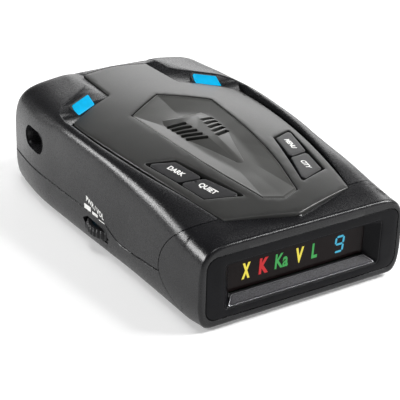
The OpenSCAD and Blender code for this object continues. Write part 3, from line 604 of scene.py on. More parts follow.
def collar_y(z):
    """Y of the seam between the collar and the case at height z."""
    if z > WIDEST:
        return max(-36.9 - 11.3 * ((z - WIDEST) / 16.3) ** 1.8, COLLAR_Y)
    return max(-36.9 - 6.5 * ((WIDEST - z) / 7.1) ** 2, COLLAR_Y)


def part_z(y):
    """Height of the parting line between the shells at y."""
    t = clamp((-6 - y) / 11)
    return 11 + (7.8 - 11) * t * t * (3 - 2 * t) + 1.6 * clamp((-22 - y) / 16)


def ridge_x(y):
    """Half width of the ridge outside the panel's groove at y."""
    if y < 15:
        return shoulder_edge(y)
    return table(y, (15, 31.4), (20, 31.8), (25.5, 30.6), (29.8, 27.6), (33.2, 21.6), (36.9, 16.6),
                 (39, 15.0), (50, 13.9), (70, 13.6))


def panel_side(y):
    """Half width of the panel's opening at y."""
    if y < 15:
        return panel_edge(y) + 0.25
    return 0.25 + table(y, (15, 29.4), (18.9, 29.39), (20.3, 28.9), (21.55, 27.8), (26.2, 19),
                        (28.73, 13.05), (29.35, 12.43), (30.2, 12.2), (48, 11.4), (49.3, 11.3))


def mirrored_grid(rows, close_rows=False):
    """Grid of the right half's rows, and its mirror image."""
    rows = np.asarray(rows)
    r, c = rows.shape[:2]
    verts = rows.reshape(-1, 3)
    faces = grid_faces(r, c, close_rows=close_rows)
    other = verts * [-1, 1, 1]
    n = len(verts)
    return np.concatenate([verts, other]), faces + [tuple(n + i for i in f[::-1]) for f in faces]


def joined(*parts):
    """One set of vertices and faces from several."""
    verts, faces, base = [], [], 0
    for v, f in parts:
        verts.append(np.asarray(v, float))
        faces += [tuple(base + i for i in face) for face in f]
        base += len(v)
    return np.concatenate(verts), faces


def rod(r, z0, z1, centre, n=40):
    """Round rod along Z, with a pinhole through it that keeps its mesh a plain grid."""
    rows = []
    for radius, z in ((0.01, z0), (r, z0), (r, z1), (0.01, z1)):
        ring = circle(radius, n, centre)
        rows.append(np.column_stack([ring, np.full(n, z)]))
    return np.concatenate(rows), grid_faces(4, n, close_rows=True, close_cols=True)


# Case screws.
SCREWS = [(s * 25.5, y) for s in (-1, 1) for y in (-31, 20)]


def shifted(y0, front, pull=26.0):
    """Where a station lands in a column whose front end is moved to front."""
    base = COLLAR_Y + SEAM / 2
    return y0 + (front - base) * max(0.0, 1 - (y0 - base) / pull)


def front_of(z_at, gap=SEAM / 2, rounds=12):
    """Y at which a column whose height at y is z_at(y) meets the collar's seam."""
    y = -45.0
    for _ in range(rounds):
        y = 0.5 * y + 0.5 * (collar_y(z_at(y)) + gap)
    return y


def gathered(cols, y_at, row_at):
    """A row whose column j is taken from the row at y_at(j)."""
    row, cache = [], {}
    for j in range(cols):
        y = round(y_at(j), 3)
        if y not in cache:
            cache[y] = row_at(y)
        row.append([cache[y][j][0], y, cache[y][j][1]])
    return row


RIM = 0.32      # radius of the edge over the groove
SIDE_COLS = 34  # columns up the side


def upper_row(y):
    """Right half of the upper shell's outside at y: up the side, over the shoulder's edge, and
    down to the centre. Beside the panel's front the edge drops into an open groove, and
    further back it slopes down to the panel's seam."""
    s = section(y)
    line = half_outline(s)
    xi = min(panel_side(y), ridge_x(y) - 0.4) if y < TAIL_Y else TAIL_X
    soft = clamp((y - GROOVE_END) / 6)
    soft = float(soft * soft * (3 - 2 * soft))
    xr = ridge_x(y) + 0.4 * soft
    slope = (ridge_x(y + 0.1) - ridge_x(y - 0.1)) / 0.2
    high = float(case_top(xr, s))
    low = min(panel_z(xr, y) - SEAT, high)
    r = min(RIM, (high - low) * 0.45) * (1 - 0.5 * soft)
    rx = r * min(math.sqrt(1 + slope * slope), 2.2)
    start = seam_length(line, part_z(y) + SEAM / 2)
    end = length_where(line, 0, TOP_N + SIDE_N, xr + rx, 0)
    side = along(line, start, end, np.linspace(0, 1, SIDE_COLS))
    side = np.concatenate([[side[0] - [BREAK, 0]], along(line, start - BREAK, end, [0]), side[1:]])
    z0 = side[-1, 1]
    seam_z = min(panel_z(xi, y) - table(y, (46, 0.6), (49.3, 0.08)), float(case_top(xi, s)))

    def slid(x, groove_z):
        t = clamp((xr - x) / (xr - xi))
        sloped = z0 - r + (seam_z - z0 + r) * t ** 1.15
        return (1 - soft) * groove_z + soft * float(sloped)

    arc = [[xr + rx * (1 - math.sin(a)), z0 - r * (1 - math.cos(a))]
           for a in np.linspace(0, math.pi / 2, 5)[1:]]
    foot = [[xr - 0.06 * k, slid(xr - 0.06 * k, low + (z0 - r - low) * (2 - k) / 2)]
            for k in (1, 2)]
    apron = [[x, slid(x, min(panel_z(x, y) - SEAT, high))]
             for x in np.linspace(xr - 0.12, xi, 9)[1:]]
    if y < TAIL_Y:
        inner = [[xi, panel_z(xi, y) - SEAT]]
        floor = [[x, panel_z(x, y) - SEAT] for x in np.linspace(xi, 0, 9)[1:]]
    else:
        behind = [[x, min(float(case_top(x, s)), panel_z(x, y) - 0.05)]
                  for x in np.linspace(xi - 0.15, 0, 9)]
        inner, floor = behind[:1], behind[1:]
    return np.concatenate([side, arc, foot, apron, inner, floor])


def tail_bend(x, y0):
    """How far a station is pulled forwards beside the centre, along the tail's end."""
    near = 1 - abs(y0 - 49.3) / 3.5
    return -0.105 * min(x, TAIL_X) * max(near, 0) * clamp((17 - x) / 4.5)


def upper_inner_row(y, cols):
    """Right half of the upper shell's inside, up the side and in to the centre."""
    s = section(y, WALL)
    line = half_outline(s)
    start = seam_length(line, part_z(y * SQUEEZE) + SEAM / 2)
    pts = along(line, start, 0, np.linspace(0, 1, cols))
    pts[:, 1] = np.minimum(pts[:, 1], panel_z(pts[:, 0], y * SQUEEZE) - SEAT - 1.7)
    pts[-1, 0] = 0
    return pts


def stations(end, start=COLLAR_Y + SEAM / 2):
    """Places along Y of a shell's rows, closer together where the shape changes fast."""
    turn = np.linspace(0, math.acos(round_off((end - ROUND_Y) / (REAR - ROUND_Y), ROUND_N)), 34)
    rear = ROUND_Y + (end - ROUND_Y) * np.sin(turn) / math.sin(turn[-1])
    return np.unique(np.round(np.concatenate([
        np.linspace(start, 18, 70), np.linspace(18, 36, 60), np.linspace(36.6, 48.6, 22),
        [49.0, 49.3, 49.42], rear[rear > 49.6]]), 4))


def shell_solid(outer_at, inner_at, ys, inner_end, tip_z, bend=lambda x, y: 0):
    """Closed shell from its outside and inside rows, which meet at their first columns, at
    the collar's seam and nowhere else."""
    cols = len(outer_at(0.0))
    fronts = [front_of(lambda y, j=j: outer_at(y)[j][1]) for j in range(cols)]
    fronts_in = [front_of(lambda y, j=j: inner_at(y, cols)[j][1]) for j in range(cols)]
    outer, inner = [], []
    for y0 in ys:
        row = gathered(cols, lambda j: shifted(y0, fronts[j]), outer_at)
        outer.append([[x, y + bend(x, y0), z] for x, y, z in row])
        inner.append(gathered(cols, lambda j: min(shifted(y0, fronts_in[j]) * SQUEEZE, inner_end),
                              lambda y: inner_at(y / SQUEEZE, cols)))
    outer.append([[0, ys[-1] + 0.015, tip_z]] * cols)
    inner.append([[0, inner_end + 0.01, tip_z]] * cols)
    outer, inner = np.array(outer), np.array(inner)
    skins = [mirrored_grid(outer), mirrored_grid(inner[::-1])]
    edge = mirrored_grid(np.stack([inner[:, 0], outer[:, 0]]))
    seam = mirrored_grid(np.stack([outer[0], inner[0]]))
    return joined(*skins, edge, seam)


def lower_row(y):
    """Right half of the lower shell's outside, down the side and in to the centre."""
    s = section(y)
    line = half_outline(s)
    start = seam_length(line, part_z(y) - SEAM / 2)
    end = lengths(line)[-1]
    marks = np.concatenate([np.linspace(0, 0.34, 30), np.linspace(0.36, 1, 16)])
    pts = along(line, start, end, marks)
    pts[-1, 0] = 0
    return np.concatenate([[pts[0] - [BREAK, 0]], along(line, start + BREAK, end, [0]), pts[1:]])


def lower_inner_row(y, cols):
    s = section(y, WALL)
    line = half_outline(s)
    start = seam_length(line, part_z(y * SQUEEZE) - SEAM / 2)
    pts = along(line, start, lengths(line)[-1], np.linspace(0, 1, cols))
    pts[-1, 0] = 0
    return pts


# ---- Cutters shared by the shells -------------------------------------------------

SOCKET = Matrix.Translation((-35.7, 34.8, 20.6)) @ Matrix.Rotation(math.radians(174), 4, "Z")
# Stands a plan up along Y, with its height towards +X.
ACROSS = axes((0, 1, 0), (0, 0, 1), (1, 0, 0))
WHEEL = (-27.453, -3.0, 5.0)    # centre of the thumb wheel's underside
BUTTON_Y, BUTTON_LEN, BUTTON_Z = 46.0, 9.0, (5.0, 10.0)


def oblong(length, high, n=14):
    r = high / 2
    a = np.linspace(-math.pi / 2, math.pi / 2, n)
    right = np.column_stack([length / 2 - r + r * np.cos(a), r * np.sin(a)])
    return np.concatenate([right, -right])


def wheel_cut():
    opening = rounded([[-10.5, 6.3], [-7, 4.5], [1.2, 4.5], [4.2, 7.6], [1.2, 9.2], [-7, 8.6]],
                      [0.3, 1.2, 1.2, 0.6, 1.2, 2.0])
    v, f = prism(opening, -40, -29.5)
    side = (moved(v, ACROSS), f)
    round_v, round_f = prism(circle(9.4, 72, WHEEL[:2]), 4.6, 8.2)
    return [cutter(*side), cutter(round_v, round_f)]


def button_cut():
    gap = 0.25
    return cutter(*block([26, BUTTON_Y - BUTTON_LEN / 2 - gap, BUTTON_Z[0] - gap],
                         [40, BUTTON_Y + BUTTON_LEN / 2 + gap, BUTTON_Z[1] + gap]))


def alert_matrix(side):
    u = Vector((7.4, -3.35, -1.15)).normalized()
    n = Vector((-0.127, -0.562, 0.817)).normalized()
    v = n.cross(u).normalized()
    n = u.cross(v)
    return Matrix.Diagonal((side, 1, 1, 1)) @ axes(u, v, n, (22.15, 27.5, 32.1))


ALERT = [[-4.5, 1.9], [3.1, 1.9], [4.9, -1.9], [-3.4, -1.9]]


def alert_cut(side):
    v, f = prism(np.array(rounded(ALERT, 0.4)) * [1.035, 1.09], -2.9, 9)
    return cutter(moved(v, alert_matrix(side)), f)


# ---- Shells -----------------------------------------------------------------------

GRILLE = [[0, -46.7], [5.5, -44.5], [9, -30.9], [10.8, -21.5], [12.5, -8], [13.9, 12.4],
          [0, 21.6]]


def both_sides(half):
    """Closed outline from its right half, whose ends lie on the centre line."""
    half = np.asarray(half, float)
    return np.concatenate([half, half[-2:0:-1] * [-1, 1]])


def build_upper():
    ys = stations(58.55)
    v, f = shell_solid(upper_row, upper_inner_row, ys, 56.7, part_z(50) + SEAM / 2, tail_bend)
    obj = make("upper_shell", v, f, None, keep=False)
    recess_v, recess_f = prism(oblong(12.8, 7), -4.2, 9.8)
    cutters = [cutter(moved(recess_v, SOCKET @ ACROSS), recess_f)]
    cutters += wheel_cut() + [button_cut(), alert_cut(1), alert_cut(-1)]
    openings = [prism(both_sides(GRILLE) * [0.93, 0.96], 10, 40)]
    for place in KEYS:
        for side in (1, -1):
            foot = moved([[*key_middle(place, side), -KEY_T - 0.6]], key_matrix(side))[0]
            openings.append(prism(circle(1.7, 32, foot[:2]), 20, 40))
    cutters.append(cutter(*joined(*openings)))
    cut(obj, cutters)
    dress(obj, "case", replaces=("upper_housing",))


def build_lower():
    ys = stations(58.5)
    v, f = shell_solid(lower_row, lower_inner_row, ys, 56.5, part_z(50) - SEAM / 2)
    obj = make("lower_shell", v, f, None, keep=False)
    cutters = wheel_cut() + [button_cut()]
    cutters.append(cutter(*block([-11, 40, 2.3], [11, 70, 6.9])))
    for x, y in SCREWS:
        cutters.append(cutter(*prism(circle(2.2, 40, (x, y)), -2, 2.2)))
    cut(obj, cutters)
    dress(obj, "case", replaces=("lower_housing",))


def collar_rows():
    """Rows of the collar's closed skin, each from the top centre round to the base centre."""
    cols = 96
    near, lip = 1.4, 3.0        # depths of the closely spaced front rows and the opening's wall
    low_z, high_z = 3.1, 21.9   # bottom and top of the opening
    nose_y, nose_x = -54.15, 20.95  # front of the panel's nose, and half its width at the seam
    centre = np.array([0, 12.5])

    def at(y):
        line = half_outline(section(y))
        nose = table(y, (nose_y, 0), (-48.2, nose_x))
        start = length_where(line, 0, TOP_N + SIDE_N, nose, 0) if nose > 0 else 0
        outer = along(line, start, lengths(line)[-1], np.linspace(0, 1, cols - 8))
        outer[-1, 0] = 0
        top = outer[0, 1]
        deep = clamp((y - nose_y) / 0.3) * 1.9
        low = [[x, min(panel_z(x, y) - deep, top + 0.6) if nose > 0 and deep > 0 else top]
               for x in np.linspace(0, nose, 7)]
        wall_foot = [[nose, (low[-1][1] + top) / 2]]
        return np.concatenate([low, wall_foot, outer])

    seams = [front_of(lambda y, j=j: at(y)[j][1], -SEAM / 2, 14) for j in range(cols)]
    # The columns under the panel share one seam.
    seams[:8] = [seams[8]] * 8
    rows = []
    for m in (0, 0.02, 0.06, 0.12, 0.2, 0.3, 0.45, 0.62, 0.8, 1.0, 1.2, near):
        rows.append(gathered(cols, lambda j: FRONT + m, at))
    for m in np.linspace(0, 1, 26)[1:]:
        rows.append(gathered(cols, lambda j: FRONT + near + m * (seams[j] - FRONT - near), at))
    # Front face in to the opening of the bezel, and the opening's wall.
    right = resampled(rect_ring(31.7, low_z, high_z, 3.4, 10), 0.4)
    right = right[right[:, 0] >= 0]
    top_first = right[np.argsort(-np.arctan2(right[:, 1] - centre[1], right[:, 0]))]
    half = np.concatenate([[[0, high_z]], top_first[np.abs(top_first[:, 0]) > 0.01], [[0, low_z]]])
    od = lengths(np.array(rows[0])[:, [0, 2]])
    marks = od / od[-1]
    hole = along(half, 0, lengths(half)[-1], marks)
    first = []
    for grow, y in ((0.15, 0), (0.04, 0.04), (0, 0.15), (0, lip)):
        ring = hole + (hole - centre) / np.linalg.norm(hole - centre, axis=1)[:, None] * grow
        ring[0, 0] = ring[-1, 0] = 0
        first.append(np.column_stack([ring[:, 0], np.full(cols, FRONT + y), ring[:, 1]]))
    inner = []
    for m in (0.0, 0.25, 0.5, 0.75, 1.0):
        row = []
        for j in range(cols):
            y = FRONT + lip + m * (seams[j] - FRONT - lip)
            line = half_outline(section(y, WALL))
            p = along(line, 0, lengths(line)[-1], [marks[j]])[0]
            row.append([0 if j in (0, cols - 1) else p[0], y, min(p[1], panel_z(p[0], y) - 3.6)])
        inner.append(row)
    return np.array(inner[::-1] + [list(r) for r in first[::-1]] + rows)


def build_collar():
    v, f = mirrored_grid(collar_rows(), close_rows=True)
    make("front_trim", v, f, "collar", replaces=("front_collar",), slot="case_black")


# ---- Top panel, grille and keys ---------------------------------------------------

KEYS = {
    "rear": [[16.9, -17.9], [24.5, -14.4], [21.7, -26.9], [14.6, -28.5]],
    "front": [[14.4, -29.1], [21.6, -27.4], [19.9, -37.2], [10.1, -41.2]],
}
POCKET = [[16.6, -17.3], [25, -13.6], [20.3, -37.8], [9.5, -41.7]]
KEY_X, KEY_Y, KEY_T = 17.6, -27.5, 1.6  # middle of a pair of keys, and their thickness
DISH_Y = -8.0                           # middle of the grille's dish
GRILLE_GAP = 0.3


def key_matrix(side):
    """Sloping plane of the two keys on one side."""
    n = Vector((side * 0.096, -0.121, 1)).normalized()
    u = Vector((n.z, 0, -n.x)).normalized()
    v = n.cross(u)
    z = float(panel_z(KEY_X, KEY_Y)) - 0.35
    return axes(u, v, n, (side * KEY_X, KEY_Y, z))


def key_middle(place, side):
    """Middle of a key in the plane of key_matrix."""
    return (np.mean(KEYS[place], axis=0) - [KEY_X, KEY_Y]) * [side, 1]


def arc(centre, r, a0, a1, steps):
    a = np.radians(np.linspace(a0, a1, steps))
    return [[centre[0] + r * math.cos(t), centre[1] + r * math.sin(t)] for t in a]


def panel_outline():
    side = [[panel_edge(y), y] for y in np.linspace(-48.2, 15, 40)]
    half = [[0, -54], *side, *arc((26.4, 18.9), 3, 5, 62, 10), [19, 26.2],
            *arc((13.9, 30.2), 1.7, -120, -180, 8), [11.4, 48], [0, 49.2]]
    return both_sides(half)


def build_panel():
    insert = both_sides(GRILLE)
    holes = [insert - inward(insert) * GRILLE_GAP]
    for side in (1, -1):
        holes.append(rounded(np.array(POCKET) * [side, 1], 0.5))
    v, f = plate(panel_outline(), holes, panel_z, 1.75, 0.3, step=0.6, grid=1.6)
    make("top_cover", v, f, "panel", replaces=("top_panel",), slot="panel_black")


def grille_gauge(x, y):
    """1 on the grille's outline, 0 at its middle, and even in between."""
    pts = both_sides(GRILLE)
    best = np.zeros(np.broadcast(x, y).shape)
    for a, b in zip(pts, np.roll(pts, -1, axis=0)):
        n = np.array([b[1] - a[1], a[0] - b[0]])
        reach = n @ (a - [0, DISH_Y])
        best = np.maximum(best, (n[0] * x + n[1] * (y - DISH_Y)) / reach)
    return best


def grille_top(x, y):
    k = grille_gauge(x, y)
    deepest = 1.15 + 0.6 * clamp((y + 4) / 16) - 0.25 * clamp((-20 - y) / 15)
    return panel_z(x, y) - 0.1 - clamp((1 - k) / 0.40) * deepest


def hull(points, name):
    mesh = bpy.data.meshes.new(name)
    bm = bmesh.new()
    for p in points:
        bm.verts.new([c * MM for c in p])
    bmesh.ops.convex_hull(bm, input=bm.verts)
    bmesh.ops.dissolve_limit(bm, angle_limit=math.radians(1), verts=bm.verts, edges=bm.edges)
    bm.to_mesh(mesh)
    bm.free()
    return placed(name, mesh)


def bevel(obj, width):
    mod = obj.modifiers.new("edge", "BEVEL")
    mod.width = width * MM
    mod.segments = 3
    mod.limit_method = "ANGLE"
    mod.angle_limit = math.radians(30)
    apply_modifiers(obj)


def join(name, objs):
    """One object from several, which are removed."""
    verts, faces = [], []
    for o in objs:
        base = len(verts)
        verts += [tuple(o.matrix_world @ v.co) for v in o.data.vertices]
        faces += [tuple(base + i for i in p.vertices) for p in o.data.polygons]
        bpy.data.objects.remove(o)
    mesh = bpy.data.meshes.new(name)
    mesh.from_pydata(verts, [], faces)
    return placed(name, mesh)


def build_grille():
    cx = np.array([0, DISH_Y])
    radii = [0, 0.6, 0.4, 0.4, 0.4, 0.9, 0.6, 0.9, 0.4, 0.4, 0.4, 0.6]
    ring = resampled(rounded(both_sides(GRILLE), radii, 3), 0.7)
    rows = []
    for k, drop in ((1.0, 3.2), (1.0, 0.4), (0.996, 0.2), (0.988, 0.08), (0.978, 0.02)):
        p = cx + (ring - cx) * k
        rows.append(np.column_stack([p, panel_z(p[:, 0], p[:, 1]) - 0.1 - drop]))
    for k in np.concatenate([np.linspace(0.965, 0.64, 9), np.linspace(0.58, 0.02, 9)]):
        p = cx + (ring - cx) * k
        rows.append(np.column_stack([p, grille_top(p[:, 0], p[:, 1])]))
    p = cx + (ring - cx) * 0.02
    rows.append(np.column_stack([p, panel_z(p[:, 0], p[:, 1]) - 3.3]))
    v = np.concatenate(rows)
    f = grid_faces(len(rows), len(ring), close_rows=True, close_cols=True)
    dish = make("grille_dish", v, f, None, sharp=9, keep=False)

    def on(x, y, drop):
        return [x, y, float(panel_z(x, y)) - drop]

    pts = []
    base = 2.9
    for s in (-1, 1):
        pts += [on(s * x, y, base) for x, y in ((7.8, 7.6), (8.1, 1.5), (7.3, -7.5), (1.5, -25.2))]
        pts += [on(s * x, y, drop) for x, y, drop in
                ((7.6, 7.4, 1.7), (8, 1.5, 1.35), (7.1, -7.5, 1.15), (1.2, -25.2, 1.1))]
        pts += [on(s * 2.9, 3.3, 0.25), on(s * 1.4, -10.2, 0.4)]
    pts += [on(0, -26, 1.15), on(0, -26, base)]
    nose = hull(pts, "nose")
    bevel(nose, 0.3)
    slots = []
    for s in (-1, 1):
        for t in np.linspace(0, 1, 5):
            inner = Vector((2.6 - 1.2 * t, -0.1 - 10.1 * t))
            outer = Vector((8 - 0.8 * t, 1.9 - 9.4 * t))
            d = (outer - inner).normalized()
            w = Vector((-d.y, d.x)) * 0.74
            inner, outer = inner - d * 0.1, outer + d * 0.1
            ends = [inner - w, outer - w, outer + w, inner + w]
            slots.append(prism(rounded([[s * p.x, p.y] for p in ends], 0.45), 20, 40))
    for o in (dish, nose):
        cut(o, [cutter(*slot) for slot in slots], 12)
    obj = join("speaker_cover", (dish, nose))
    finish_mesh(obj, 14)
    dress(obj, "grille", replaces=("speaker_grille",))


def lettering(name, words, size, matrix, body, mat="print", bold=0.0, slot=None, project=None,
              shear=0.0):
    """A flat word, centred on the frame matrix, 0.03 mm thick, laid on a surface."""
    curve = bpy.data.curves.new(name, "FONT")
    curve.body = words
    curve.size = size
    curve.align_x, curve.align_y = "CENTER", "CENTER"
    curve.extrude = 0.015
    curve.offset = bold
    curve.shear = shear
    curve.resolution_u = 6
    temp = placed(name + "_curve", curve)
    mesh = evaluated(temp)
    bpy.data.objects.remove(temp)
    pts = moved([tuple(v.co) for v in mesh.vertices], matrix)
    if project:
        pts = project(pts)
    make(name, pts, [tuple(p.vertices) for p in mesh.polygons], mat, body=body, slot=slot)


def build_keys():
    names = {("rear", -1): ("dim_key", "DARK"), ("front", -1): ("mute_key", "QUIET"),
             ("rear", 1): ("menu_key", "MENU"), ("front", 1): ("city_key", "CITY")}
    for (place, side), (node_name, word) in names.items():
        plan = (np.array(KEYS[place]) - [KEY_X, KEY_Y]) * [side, 1]
        mid = key_middle(place, side)
        outline = rounded(mid + (plan - mid) * [0.97, 0.985], 0.9, 6)
        span = np.abs(outline - mid).max()

        def top(x, y, mid=mid, span=span):
            return -0.05 * ((x - mid[0]) ** 2 + (y - mid[1]) ** 2) / span ** 2

        v, f = plate(outline, [], top, KEY_T, 0.28, step=0.35, grid=0.9, low=level(-KEY_T))
        stem = rod(1.2, -KEY_T - 0.48, -KEY_T + 0.1, mid)
        v, f = joined((v, f), stem)
        m = key_matrix(side)
        make(node_name + "_cap", moved(v, m), f, "key", body=node_name, replaces=(node_name,),
             slot="key_black")
        turn = math.radians(-76 if side < 0 else -98)
        at = (m @ Matrix.Translation((mid[0], mid[1], 0.0)) @ Matrix.Rotation(turn, 4, "Z")
              @ Matrix.Diagonal((0.86, 1, 1, 1)))
        lettering(node_name + "_word", word, 2.5 if side < 0 else 2.3, at, node_name,
                  bold=0.07, slot="ribbon_white")


# ---- Display end ------------------------------------------------------------------

LENS_Y = -54.0
GLYPH_Z = 12.9


def build_bezel():
    face = rect_ring(31.55, 3.25, 21.75, 3.4, 12)
    hole = rect_ring(25.9, 5.4, 19.1, 1.2)
    v, f = plate(face, [hole], level(0), 2.15, 0.25, step=0.5, grid=2.5)
    m = Matrix.Translation((0, FRONT, 0)) @ FACE
    face_part = (moved(v, m), f)
    rings = []
    for t, grow, y in ((0, -0.02, 0.12), (0.03, -0.25, 0.1), (0.06, -0.25, 0.2), (1, 0, 3.6),
                       (1, 0.9, 3.66), (1, 1.5, 3.7), (1, 1.5, 3.5), (0, 1.0, 1.9),
                       (0, 0.9, 0.6), (0, 0.4, 0.25)):
        hx, lo, hi = 25.9 + (22.6 - 25.9) * t, 5.4 + 2.3 * t, 19.1 - 1.7 * t
        ring = rect_ring(hx + grow, lo - grow, hi + grow, 1.2 + max(grow, 0) - 0.4 * t)
        rings.append(np.column_stack([ring[:, 0], np.full(len(ring), FRONT + y), ring[:, 1]]))
    tray = (np.concatenate(rings), grid_faces(len(rings), len(rings[0]), True, True))
    make("display_surround", *joined(face_part, tray), "bezel", replaces=("display_bezel",),
         slot="bezel_black")


def build_ledge():
    """Sloping sill under the lens, with a fine rim round it. The rim's light metallic grey is a painted
    highlight along the sill's edges.
    """
    low, high = np.array([24.6, -57.45, 5.75]), np.array([22.4, -55.3, 7.7])
    along_v = (high - low) * [0, 1, 1]
    length = np.linalg.norm(along_v)
    u, v = np.array([1.0, 0, 0]), along_v / length
    n = np.cross(u, v)
    m = axes(u, v, n, (0, low[1], low[2] + 0.3))
    wide, narrow = low[0], high[0]
    outline = rounded([[-wide, 0], [wide, 0], [narrow, length], [-narrow, length]], 0.3, 5)
    hole = rounded([[-wide + 0.45, 0.22], [wide - 0.45, 0.22], [narrow - 0.25, length - 0.05],
                    [-narrow + 0.25, length - 0.05]], 0.2, 5)
    rim = plate(outline, [hole], level(0), 0.28, 0.1, step=0.5, grid=2)
    # The rim's lighter colour is a painted highlight on the sill's edges.
    make("sill_rim", moved(rim[0], m), rim[1], "polished", slot="ledge_black")
    inner = rounded([[-wide + 0.5, 0.26], [wide - 0.5, 0.26], [narrow - 0.3, length - 0.08],
                     [-narrow + 0.3, length - 0.08]], 0.2, 5)
    fill = plate(inner, [], level(-0.08), 0.18, 0.04, step=0.5, grid=1.2)
    make("sill_face", moved(fill[0], m), fill[1], "ledge", replaces=("display_ledge",),
         slot="ledge_black")


def build_lens():
    outline = rect_ring(23.9, 7.9, 18.7, 1.0, 6)

    def bulge(x, y):
        return 0.12 * (1 - (x / 24) ** 2)

    v, f = plate(outline, [], bulge, 1.1, 0.15, step=0.6, grid=1.5, low=level(-1.05))
    m = Matrix.Translation((0, LENS_Y + 0.12, 0)) @ FACE
    make("lens_plate", moved(v, m), f, "lens", replaces=("display_lens",), slot="smoked_lens")


def glyph(name, words, x, mat, wide, bold):
    """A lit band letter, a little in front of the lens."""
    m = Matrix.Translation((x, LENS_Y - 0.06, GLYPH_Z)) @ FACE @ Matrix.Diagonal((wide, 1, 1, 1))
    lettering(name, words, 6.1, m, "case", mat=mat, bold=bold, slot="alert_blue", shear=0.07)


def build_glyphs():
    for name, words, x, mat, wide, bold in (("band_x", "X", -17.0, "yellow", 0.46, 0.3),
                                            ("band_k", "K", -11.6, "red", 0.66, 0.3),
                                            ("band_ka", "Ka", -5.6, "green", 0.68, 0.14),
                                            ("band_v", "V", 0.4, "yellow", 0.6, 0.24),
                                            ("band_l", "L", 5.4, "green", 0.66, 0.2)):
        glyph(name, words, x, mat, wide, bold)
    # Seven-segment figure with six segments lit, which reads as 9: half width, half height,
    # stroke and lean.
    w, h, t, lean = 1.3, 2.3, 0.62, 0.09
    bars = {"top": ((-w, h), (w, h)), "mid": ((-w, 0), (w, 0)), "low": ((-w, -h), (w, -h)),
            "upper_left": ((-w, h), (-w, 0)), "upper_right": ((w, h), (w, 0)),
            "lower_right": ((w, 0), (w, -h))}
    parts = []
    for (x0, z0), (x1, z1) in bars.values():
        a, b = Vector((x0, z0)), Vector((x1, z1))
        d = (b - a).normalized()
        s = Vector((-d.y, d.x)) * t / 2
        a, b = a + d * 0.13, b - d * 0.13
        hexagon = [a, a + d * t / 2 + s, b - d * t / 2 + s, b, b - d * t / 2 - s, a + d * t / 2 - s]
        outline = [[p.x + lean * p.y, p.y] for p in hexagon]
        v, f = prism(outline, 0, 0.05)
        parts.append((moved(v, Matrix.Translation((14.1, LENS_Y - 0.02, GLYPH_Z)) @ FACE), f))
    make("figure", *joined(*parts), "cyan", slot="alert_blue")


def build_alerts():
    for side, name in ((1, "right"), (-1, "left")):
        outline = rounded(ALERT, 0.35, 5)
        v, f = plate(outline, [], level(0), 2.55, 0.25, step=0.3, grid=0.8)
        pipe = rod(1.3, 14.5, 30.4, (side * 21.6, 26.6))
        v, f = joined((moved(v, alert_matrix(side)), f), pipe)
        make("alert_light_" + name, v, f, "alert", replaces=("alert_lens_" + name,),
             slot="alert_blue")


def build_surrounds():
    """Black moulded bed that each alert light sits in. Its colour is darker than the case: partly its
    own black, partly painted shade of the pocket round the light.
    """
    for side, name in ((1, "right"), (-1, "left")):
        bed = rounded(np.array(ALERT) * [1.17, 1.35], 0.5, 5)
        hole = rounded(np.array(ALERT) * [1.02, 1.05], 0.35, 5)
        v, f = plate(bed, [hole], level(-0.45), 2.2, 0.2, step=0.4, grid=1.0)
        make("light_bed_" + name, moved(v, alert_matrix(side)), f, "dark", slot="case_black")


def build_socket():
    """Lining of the recess, with an opening in its floor for the metal shell."""
    rows = []
    for length, high, depth in ((12.8, 7.0, 0.35), (12.7, 6.9, 0.45), (12.7, 6.9, 4.1),
                                (12.5, 6.7, 4.2), (8.6, 4.5, 4.2), (8.3, 4.2, 4.35),
                                (8.3, 4.2, 5.6), (15.0, 9.2, 5.6), (15.0, 9.2, 1.9),
                                (13.0, 7.2, 1.6), (12.9, 7.1, 0.4)):
        ring = oblong(length, high)
        rows.append(np.column_stack([ring, np.full(len(ring), -depth)]))
    v = moved(np.concatenate(rows), SOCKET @ ACROSS)
    f = grid_faces(len(rows), len(rows[0]), True, True)
    make("socket_liner", v, f, "case", slot="case_black")


# ---- Volume wheel, release button, window, labels ----------------------------------


def build_wheel():
    teeth = 36
    n = teeth * 12
    a = np.arange(n) * 2 * math.pi / n
    ripple = (0.5 + 0.5 * np.cos(a * teeth)) ** 0.6
    rows = []
    for r, z, depth in ((1.55, 0, 0), (5.0, 0, 0), (7.4, 0, 0), (8.35, 0.05, 0.05), (8.75, 0.3, 0.3),
                        (8.98, 0.62, 0.45), (8.98, 1.4, 0.45), (8.98, 2.18, 0.45),
                        (8.75, 2.5, 0.3), (8.35, 2.75, 0.05), (7.4, 2.8, 0), (7.1, 2.45, 0),
                        (2.6, 2.45, 0), (2.4, 2.8, 0), (1.55, 2.8, 0)):
        radius = r - depth * (1 - ripple)
        rows.append(np.column_stack([WHEEL[0] + radius * np.cos(a), WHEEL[1] + radius * np.sin(a),
                                     np.full(n, WHEEL[2] + z)]))
    v = np.concatenate(rows)
    f = grid_faces(len(rows), n, True, True)
    make("thumb_wheel", v, f, "wheel", body="volume", replaces=("volume_wheel",),
         slot="wheel_black", sharp=30)


def build_button():
    face_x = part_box("release_button")[1][0] / MM
    v, f = block([27, BUTTON_Y - BUTTON_LEN / 2, BUTTON_Z[0]],
                 [face_x, BUTTON_Y + BUTTON_LEN / 2, BUTTON_Z[1]])
    obj = make("release_key", v, f, None, keep=False)
    bevel(obj, 0.45)
    grooves = [cutter(*block([face_x - 0.3, BUTTON_Y + y - 0.3, BUTTON_Z[0] + 0.8],
                             [face_x + 2, BUTTON_Y + y + 0.3, BUTTON_Z[1] - 0.8]))
               for y in (-1.5, 0, 1.5)]
    cut(obj, grooves)
    dress(obj, "case", body="release", replaces=("release_button",))


def rear_y(x, z):
    """Y of the case's back surface at x, z."""
    lo, hi = 40.0, REAR
    for _ in range(30):
        mid = (lo + hi) / 2
        s = section(mid)
        inside_it = abs(x) < s["w"] * s["f"] and z < case_top(x, s)
        lo, hi = (mid, hi) if inside_it else (lo, mid)
    return lo


